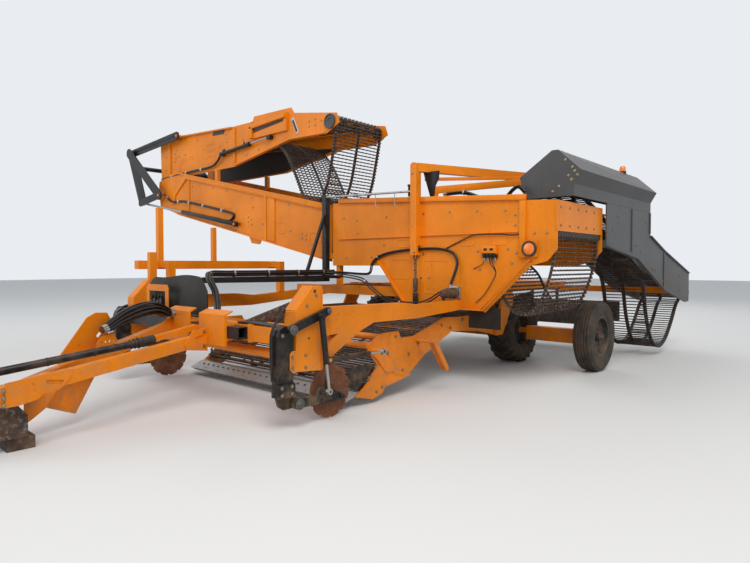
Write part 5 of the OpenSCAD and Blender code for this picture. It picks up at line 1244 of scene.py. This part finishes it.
class HARVESTER_OT_front(bpy.types.Operator):
    """Curtain, hoop valves, small hoses, and the trim of masts and coulters"""

    bl_idname = "harvester.front"
    bl_label = "Front"

    def execute(self, context):
        columns = [[curtain_point(i, j) for j in range(CURTAIN_ROWS)] for i in range(CURTAIN_COLUMNS)]
        flap = soft_sheet(columns, 0.012, X)
        flap.prism(oblong(1.85, 2.33, 0.76, 1.04), 2.072, 2.0797)
        flap.piece("rubber_curtain", "curtain rubber", replaces=["rubber_flaps"])
        board = Mould().prism([(4.8097, 0.932), (4.05, 1.14), (4.05, 1.0), (4.8097, 0.815)], 0.49, 0.505, "xz")
        board.piece("divider_board", "rusty rods", replaces=["rubber_flaps"], bevel=0.002)
        # Valves inside the hoop
        valves, metal = Mould(), Mould()
        for k, y in ((k, -1.3 + 0.085 * k) for k in range(4)):
            valves.block(4.918, y, 0.962, 4.968, y + 0.06, 1.14 + 0.02 * (k % 2))
            valves.lathe((4.943, y + 0.03, 1.14), Z, [(0.018, 0), (0.018, 0.06), (0.01, 0.07)], 10)
            for z in (1.05, 1.0):
                metal.lathe((4.968, y + 0.03, z), X, PORT, 10)
        valves.piece("hoop_valves", "black enamel", bevel=0.003)
        metal.piece("hoop_fittings", "worn steel")
        runs = Mould()
        for y in (-1.3 + 0.1 * k for k in range(5)):
            runs.line([(4.985, y, 1.02), (5.03, y + 0.02, 1.04), (5.05, y + 0.1, 1.09), (5.04, y + 0.22, 1.05),
                       (4.98, y + 0.32, 1.0), (4.95, y + 0.36, 0.962)], 0.02, 0.03)
        for k in range(3):
            runs.line([(4.9, -1.1 + 0.05 * k, 0.975 + 0.018 * k), (4.88, -0.8, 0.985), (4.885, -0.3, 0.98),
                       (4.88, 0.05 + 0.03 * k, 0.975), (4.87, 0.1 + 0.02 * k, 0.99)], 0.02)
        for dy in (0.0, 0.02):
            runs.line([(5.03, 1.5, 1.02 + dy), (5.06, 1.64, 1.12), (5.1, 1.70, 1.16 + dy), (5.17, 1.70, 1.1),
                       (5.265, 1.70 + dy, 0.95), (5.27, 1.70 + dy, 0.7), (5.268, 1.71, 0.5)], 0.017, 0.04)
        runs.piece("front_lines", "hose rubber")
        # Lines along the tool bar where the hoses leave it
        wrap = Mould()
        for k in range(4):
            wrap.line([(4.9 + 0.02 * k, 0.72, 0.972), (4.91 + 0.02 * k, 1.05, 0.984), (4.9 + 0.025 * k, 1.4, 0.975),
                       (4.93 + 0.02 * k, 1.58, 0.98)], 0.022)
        wrap.piece("bar_lines", "hose rubber")
        for s, side in ((1, "left"), (-1, "right")):
            self.coulter_trim(s, side)
        return {"FINISHED"}

    def coulter_trim(self, s, side):
        """Washers, pins, bolts and folds of one mast and its coulter."""
        out = (0, s, 0)
        boss = Mould()
        for x, z, y, r in ((5.12, 0.985, 1.861, 0.048), (4.65, 1.135, 1.845, 0.03)):
            boss.revolve((x, s * y, z), out, [(0, 0), (r, 0), (r, 0.012), (r * 0.85, 0.016), (r * 0.5, 0.016),
                                              (r * 0.45, 0.028), (0, 0.03)], 28)
        boss.revolve((5.01, s * 1.811, 0.255), out, [(0, 0), (0.055, 0), (0.055, 0.014), (0.03, 0.018), (0.026, 0.03),
                                                    (0, 0.032)], 28)
        boss.piece(side + "_coulter_bosses", "scoured steel", bevel=0.002)
        bolts(side + "_mast_bolts", [((x, s * y, z), out) for x, y, z in MAST_BOLTS], size=0.024)
        arm = Mould().revolve((4.425, s * 1.812, 0.24), out, [
            (0, 0), (0.034, 0), (0.034, 0.012), (0.02, 0.016), (0.02, 0.026), (0, 0.028)], 20)
        arm.rod((4.69, s * 1.786, 0.335), (4.69, s * 1.80, 0.335), 0.07, 20)
        arm.sweep([(4.62, s * 1.77, 0.30), (4.62, s * 1.77, 0.38), (4.6, s * 1.77, 0.5)],
                  oblong(-0.006, 0.006, -0.02, 0.02), Y)
        arm.piece(side + "_arm_caps", "black enamel", side + "_coulter", bevel=0.002)
        hub = Mould().revolve((4.5, s * 1.70, 0.285), (0, -s, 0), [
            (0.061, -0.004), (0.095, -0.004), (0.095, 0.014), (0.061, 0.02)], 28, ring=True)
        hub.piece(side + "_disc_flange", "rusty disc", side + "_coulter_disc", bevel=0.002)
        turns = [k * math.tau / DISC_BOLTS for k in range(DISC_BOLTS)]
        ring = [(4.5 + DISC_BOLT_CIRCLE * math.cos(a), 0.285 + DISC_BOLT_CIRCLE * math.sin(a)) for a in turns]
        bolts(side + "_disc_bolts", on_y(s * 1.685, ring, -s), side + "_coulter_disc", 0.02, "rusty disc")
        # Folded edges of the mast, and painted shade in its holes
        low, high = sorted((s * 1.799, s * 1.812))
        fold = Mould().block(4.702, low, 0.56, 4.715, high, 1.36)
        fold.box_along((4.81, s * 1.71, 1.392), (5.035, s * 1.71, 1.157), 0.17, 0.012, (1, 0, 1))
        fold.piece(side + "_mast_folds", "orange enamel", bevel=0.002)
        # Painted shade: thin black discs on the mast's face stand for the shade inside its holes
        eye = Mould().drum((4.8, s * 1.799, 1.34), out, 0.018, 0.003)
        eye.drum((4.88, s * 1.799, 0.88), out, 0.012, 0.003, 12)
        eye.piece(side + "_mast_holes", "black rubber")


DIGGER_BOLTS = [
    (3.72, 0.42), (3.83, 0.31), (3.6, 0.17), (3.7, 0.13), (3.22, 0.32), (3.5, 0.56), (2.9, 0.62), (2.4, 0.8),
    (1.9, 0.84), (1.4, 0.8), (3.35, 0.74), (3.1, 0.5), (2.2, 0.75), (1.0, 0.62)]
SHARES, SHARE_WIDE = 12, 0.25


def wheel_row(mould, at, r, count, start, pitch, sides):
    """Wheels of a roller that lies across the machine at (x, z)."""
    for k in range(count):
        mould.drum((at[0], start + pitch * k - 0.015, at[1]), Y, r, 0.03, sides)


class HARVESTER_OT_digger(bpy.types.Operator):
    """Digger's bolts, scraped shares and rollers, and the beds behind it"""

    bl_idname = "harvester.digger"
    bl_label = "Digger and beds"

    def execute(self, context):
        bolts("digger_bolts", on_y(1.637, DIGGER_BOLTS) + on_y(-1.637, DIGGER_BOLTS, -1), "digger", 0.027)
        # Black wear plate inside the front of the left side sheet
        wear = Mould().prism([(4.14, 0.24), (3.96, 0.165), (3.72, 0.43), (3.76, 0.47), (4.14, 0.46)], 1.6, 1.61, "xz")
        wear.piece("wear_plate", "black enamel", "digger", bevel=0.002)
        shares, spots = Mould(), []
        for y in (-1.5 + SHARE_WIDE * k for k in range(SHARES)):
            shares.prism([(4.02, 0.174), (4.2, 0.094), (4.225, 0.084), (4.2, 0.078), (4.02, 0.16)],
                         y + 0.006, y + SHARE_WIDE - 0.006, "xz")
            spots += [((4.08, y + 0.06 + dy, 0.149), (0.4, 0, 0.9)) for dy in (0.0, 0.12)]
        shares.piece("shares", "scoured steel", "digger", bevel=0.002)
        bolts("share_bolts", spots, "digger", 0.022, "scoured steel")
        wheel = Mould()
        for x, z, r, d in ((0.83, 0.785, 0.055, 0.045), (3.86, 0.235, 0.028, 0.03)):
            wheel.rod((x, -1.56, z), (x, 1.56, z), d)
            wheel_row(wheel, (x, z), r, 9, -1.5, 0.375, 14)
        wheel.piece("digger_wheels", "rusty casting", "digger")
        # Plates, posts and rollers of the second bed and the cross conveyor, with the rods' own end wheels
        bed = Mould()
        for s in (1, -1):
            bed.prism([(0.6, 0.65), (0.6, 0.9), (-1.4, 1.1), (-1.4, 0.85)], *sorted((s * 0.99, s * 1.01)), "xz")
            low, high = sorted((s * 1.01, s * 1.03))
            bed.block(-0.06, low, 0.7, 0.06, high, 0.96)
            y = s * (1.0095 + 1.025) / 2
            bed.sweep([(0.6, y, 0.895), (-1.4, y, 1.095)], oblong(-0.008, 0.008, -0.03, 0.0), Z)
        for x, z in ((0.58, 0.8), (-1.25, 0.98)):
            bed.rod((x, -1.0, z), (x, 1.0, z), 0.06)
        wheel_row(bed, (0.575, 0.76), 0.04, 7, -0.93, 0.31, 12)
        wheel_row(bed, (-1.33, 0.95), 0.036, 7, -0.93, 0.31, 12)
        bed.piece("second_bed_frame", "rusty casting", replaces=["second_bed"], bevel=0.002)
        cross = Mould()
        for x in (-2.6, -1.49):
            cross.block(x, -1.24, 0.53, x + 0.02, 2.25, 0.9)
            for y in (-1.06, 1.0):
                cross.block(x, y - 0.03, 0.9, x + 0.02, y + 0.03, 1.13)
            edge = x - 0.012 if x < -2 else x + 0.02
            for z in (0.53, 0.888):
                cross.block(edge, -1.23, z, edge + 0.012, 2.24, z + 0.012)
        for y in (-1.0, 2.0):
            cross.rod((-2.6, y, 0.757), (-1.47, y, 0.757), 0.06)
        rollers(cross, (-2.5, -2.2, -1.85, -1.56), -2.59, -1.48, [(-1.16, 0.69, 0.085), (2.17, 0.69, 0.085)], 0.05, 14,
                0.03)
        cross.piece("cross_conveyor_frame", "grey enamel", replaces=["cross_conveyor"], bevel=0.002)
        return {"FINISHED"}


# A point of the drawbar's middle line, the way it runs, and the way its near side faces
DRAWBAR_AT = Vector((5.132, 0.309, 0.774))
DRAWBAR_RUN = Vector((0.988, 0.141, 0.0)).normalized()
DRAWBAR_OUT = Vector((-0.141, 0.988, 0.0)).normalized()
SHAFT_GUARD = Vector((5.86, 0.25, 0.79)), Vector((7.27, 0.25, 0.648))


class HARVESTER_OT_tongue(bpy.types.Operator):
    """Bolts of the tongue and rings of its drive shaft's guard"""

    bl_idname = "harvester.tongue"
    bl_label = "Tongue"

    def execute(self, context):
        spots = []
        for run, z in ((0.05, 0.86), (0.05, 0.7), (2.075, 0.57), (2.075, 0.51), (2.075, 0.45)):
            p = DRAWBAR_AT + DRAWBAR_RUN * run + DRAWBAR_OUT * 0.063
            spots.append(((p.x, p.y, z), DRAWBAR_OUT))
        spots += on_x(5.143, [(-0.38, 0.8), (-0.38, 0.96), (0.24, 0.7), (0.24, 0.86)])
        spots += [((7.12 + 0.05 * k, 0.55 - 0.12 * j, 0.561), Z) for k in range(2) for j in range(2)]
        bolts("tongue_bolts", spots, "tongue", 0.026)
        guard = Mould()
        start, end = SHAFT_GUARD
        axis = (end - start).normalized()
        for run, r in ((-0.05, 0.056), (0.0, 0.057), (0.04, 0.051), (0.08, 0.046), (0.44, 0.041), (0.86, 0.041),
                       (1.28, 0.043)):
            guard.revolve(start + axis * run, axis, [(0.034, -0.008), (r, -0.006), (r, 0.006), (0.034, 0.008)], 28,
                          ring=True)
        guard.piece("shaft_guard_rings", "black rubber", "tongue")
        return {"FINISHED"}


# Stage

# The photograph's width, focal length and horizon's height over its middle in pixels, and its turn in degrees
PHOTO_WIDE, PHOTO_FOCUS, PHOTO_HORIZON, PHOTO_YAW = 750.0, 563.0, 16.5, 42.0
EYE = Vector((8.54, 5.97, 1.6))
SENSOR = 36.0
FLOOR = 60.0
# Name, place, size, power and colour of each lamp
LIGHTS = [
    ("key", (9.0, 12.0, 14.0), 9.0, 1900.0, (1.0, 0.97, 0.92)),
    ("fill", (14.0, -10.0, 8.0), 12.0, 700.0, (0.92, 0.96, 1.0)),
    ("back", (-14.0, -4.0, 12.0), 10.0, 900.0, (1.0, 0.98, 0.95)),
]


def look(name, data, at, ahead):
    """An object for a camera or lamp that looks ahead."""
    obj = bpy.data.objects.new(name, data)
    obj.location = at
    obj.rotation_euler = ahead.to_track_quat("-Z", "Y").to_euler()
    show(obj)
    return obj


class HARVESTER_OT_stage(bpy.types.Operator):
    """Floor, soft light and the camera at the photograph's angle"""

    bl_idname = "harvester.stage"
    bl_label = "Stage"

    def execute(self, context):
        scene = context.scene
        scene.view_settings.view_transform = "Standard"
        yaw, pitch = math.radians(PHOTO_YAW), math.atan(PHOTO_HORIZON / PHOTO_FOCUS)
        ahead = Vector((-math.cos(yaw) * math.cos(pitch), -math.sin(yaw) * math.cos(pitch), -math.sin(pitch)))
        data = bpy.data.cameras.new("camera")
        data.sensor_width = SENSOR
        data.lens = SENSOR * PHOTO_FOCUS / PHOTO_WIDE
        data.clip_end = 200.0
        scene.camera = look("camera", data, EYE + MACHINE, ahead)

        floor = bpy.data.objects.new("floor", bpy.data.meshes.new("floor"))
        floor.data.from_pydata([(x, y, 0) for x, y in oblong(-FLOOR, FLOOR, -FLOOR, FLOOR)], [], [(0, 1, 2, 3)])
        show(floor)
        shade = new_material("floor")
        graph = Graph(shade.node_tree)
        matt = graph.node("ShaderNodeBsdfPrincipled", {"Base Color": (0.70, 0.69, 0.67, 1), "Roughness": 0.9})
        graph.node("ShaderNodeOutputMaterial", {"Surface": matt["BSDF"]})
        floor.data.materials.append(shade)

        # The sky lights the pieces with less than the camera sees of it
        scene.world = bpy.data.worlds.new("world")
        scene.world.use_nodes = True
        scene.world.node_tree.nodes.clear()
        sky = Graph(scene.world.node_tree)
        path = sky.node("ShaderNodeLightPath")
        either = sky.math("MAXIMUM", path["Is Camera Ray"], path["Is Glossy Ray"])
        light = sky.node("ShaderNodeBackground", {"Color": (0.86, 0.92, 1.0, 1), "Strength": 0.62})[0]
        seen = sky.node("ShaderNodeBackground", {"Color": (0.86, 0.89, 0.93, 1), "Strength": 0.95})[0]
        mix = sky.node("ShaderNodeMixShader", {0: either, 1: light, 2: seen})[0]
        sky.node("ShaderNodeOutputWorld", {"Surface": mix})

        for name, at, size, power, colour in LIGHTS:
            lamp = bpy.data.lights.new(name, "AREA")
            lamp.size = size
            lamp.energy = power
            lamp.color = colour
            look(name, lamp, at, Vector((0, 0, 1.5)) - Vector(at))
        return {"FINISHED"}


# Panel and registration

OPERATORS = [
    HARVESTER_OT_stage, HARVESTER_OT_finishes, HARVESTER_OT_trees, HARVESTER_OT_chains, HARVESTER_OT_wheels,
    HARVESTER_OT_hoses, HARVESTER_OT_trough, HARVESTER_OT_booms, HARVESTER_OT_gantry, HARVESTER_OT_front,
    HARVESTER_OT_digger, HARVESTER_OT_tongue]


class HARVESTER_PT_sidebar(bpy.types.Panel):
    """Lists the harvester's pieces in the sidebar"""

    bl_idname = "HARVESTER_PT_sidebar"
    bl_label = "Harvester"
    bl_space_type = "VIEW_3D"
    bl_region_type = "UI"
    bl_category = "Harvester"

    def draw(self, context):
        for group in (context.scene.harvester_finish, context.scene.harvester_sizes):
            for name in group.__annotations__:
                self.layout.prop(group, name)
        for operator in OPERATORS:
            self.layout.operator(operator.bl_idname)


CLASSES = [HarvesterFinish, HarvesterSizes, *OPERATORS, HARVESTER_PT_sidebar]


def register():
    for cls in CLASSES:
        bpy.utils.register_class(cls)
    bpy.types.Scene.harvester_finish = bpy.props.PointerProperty(type=HarvesterFinish)
    bpy.types.Scene.harvester_sizes = bpy.props.PointerProperty(type=HarvesterSizes)


def unregister():
    del bpy.types.Scene.harvester_sizes
    del bpy.types.Scene.harvester_finish
    for cls in reversed(CLASSES):
        bpy.utils.unregister_class(cls)


def main():
    register()
    for operator in OPERATORS:
        group, name = operator.bl_idname.split(".")
        getattr(getattr(bpy.ops, group), name)()
    bpy.context.view_layer.update()


if __name__ == "__main__":
    main()
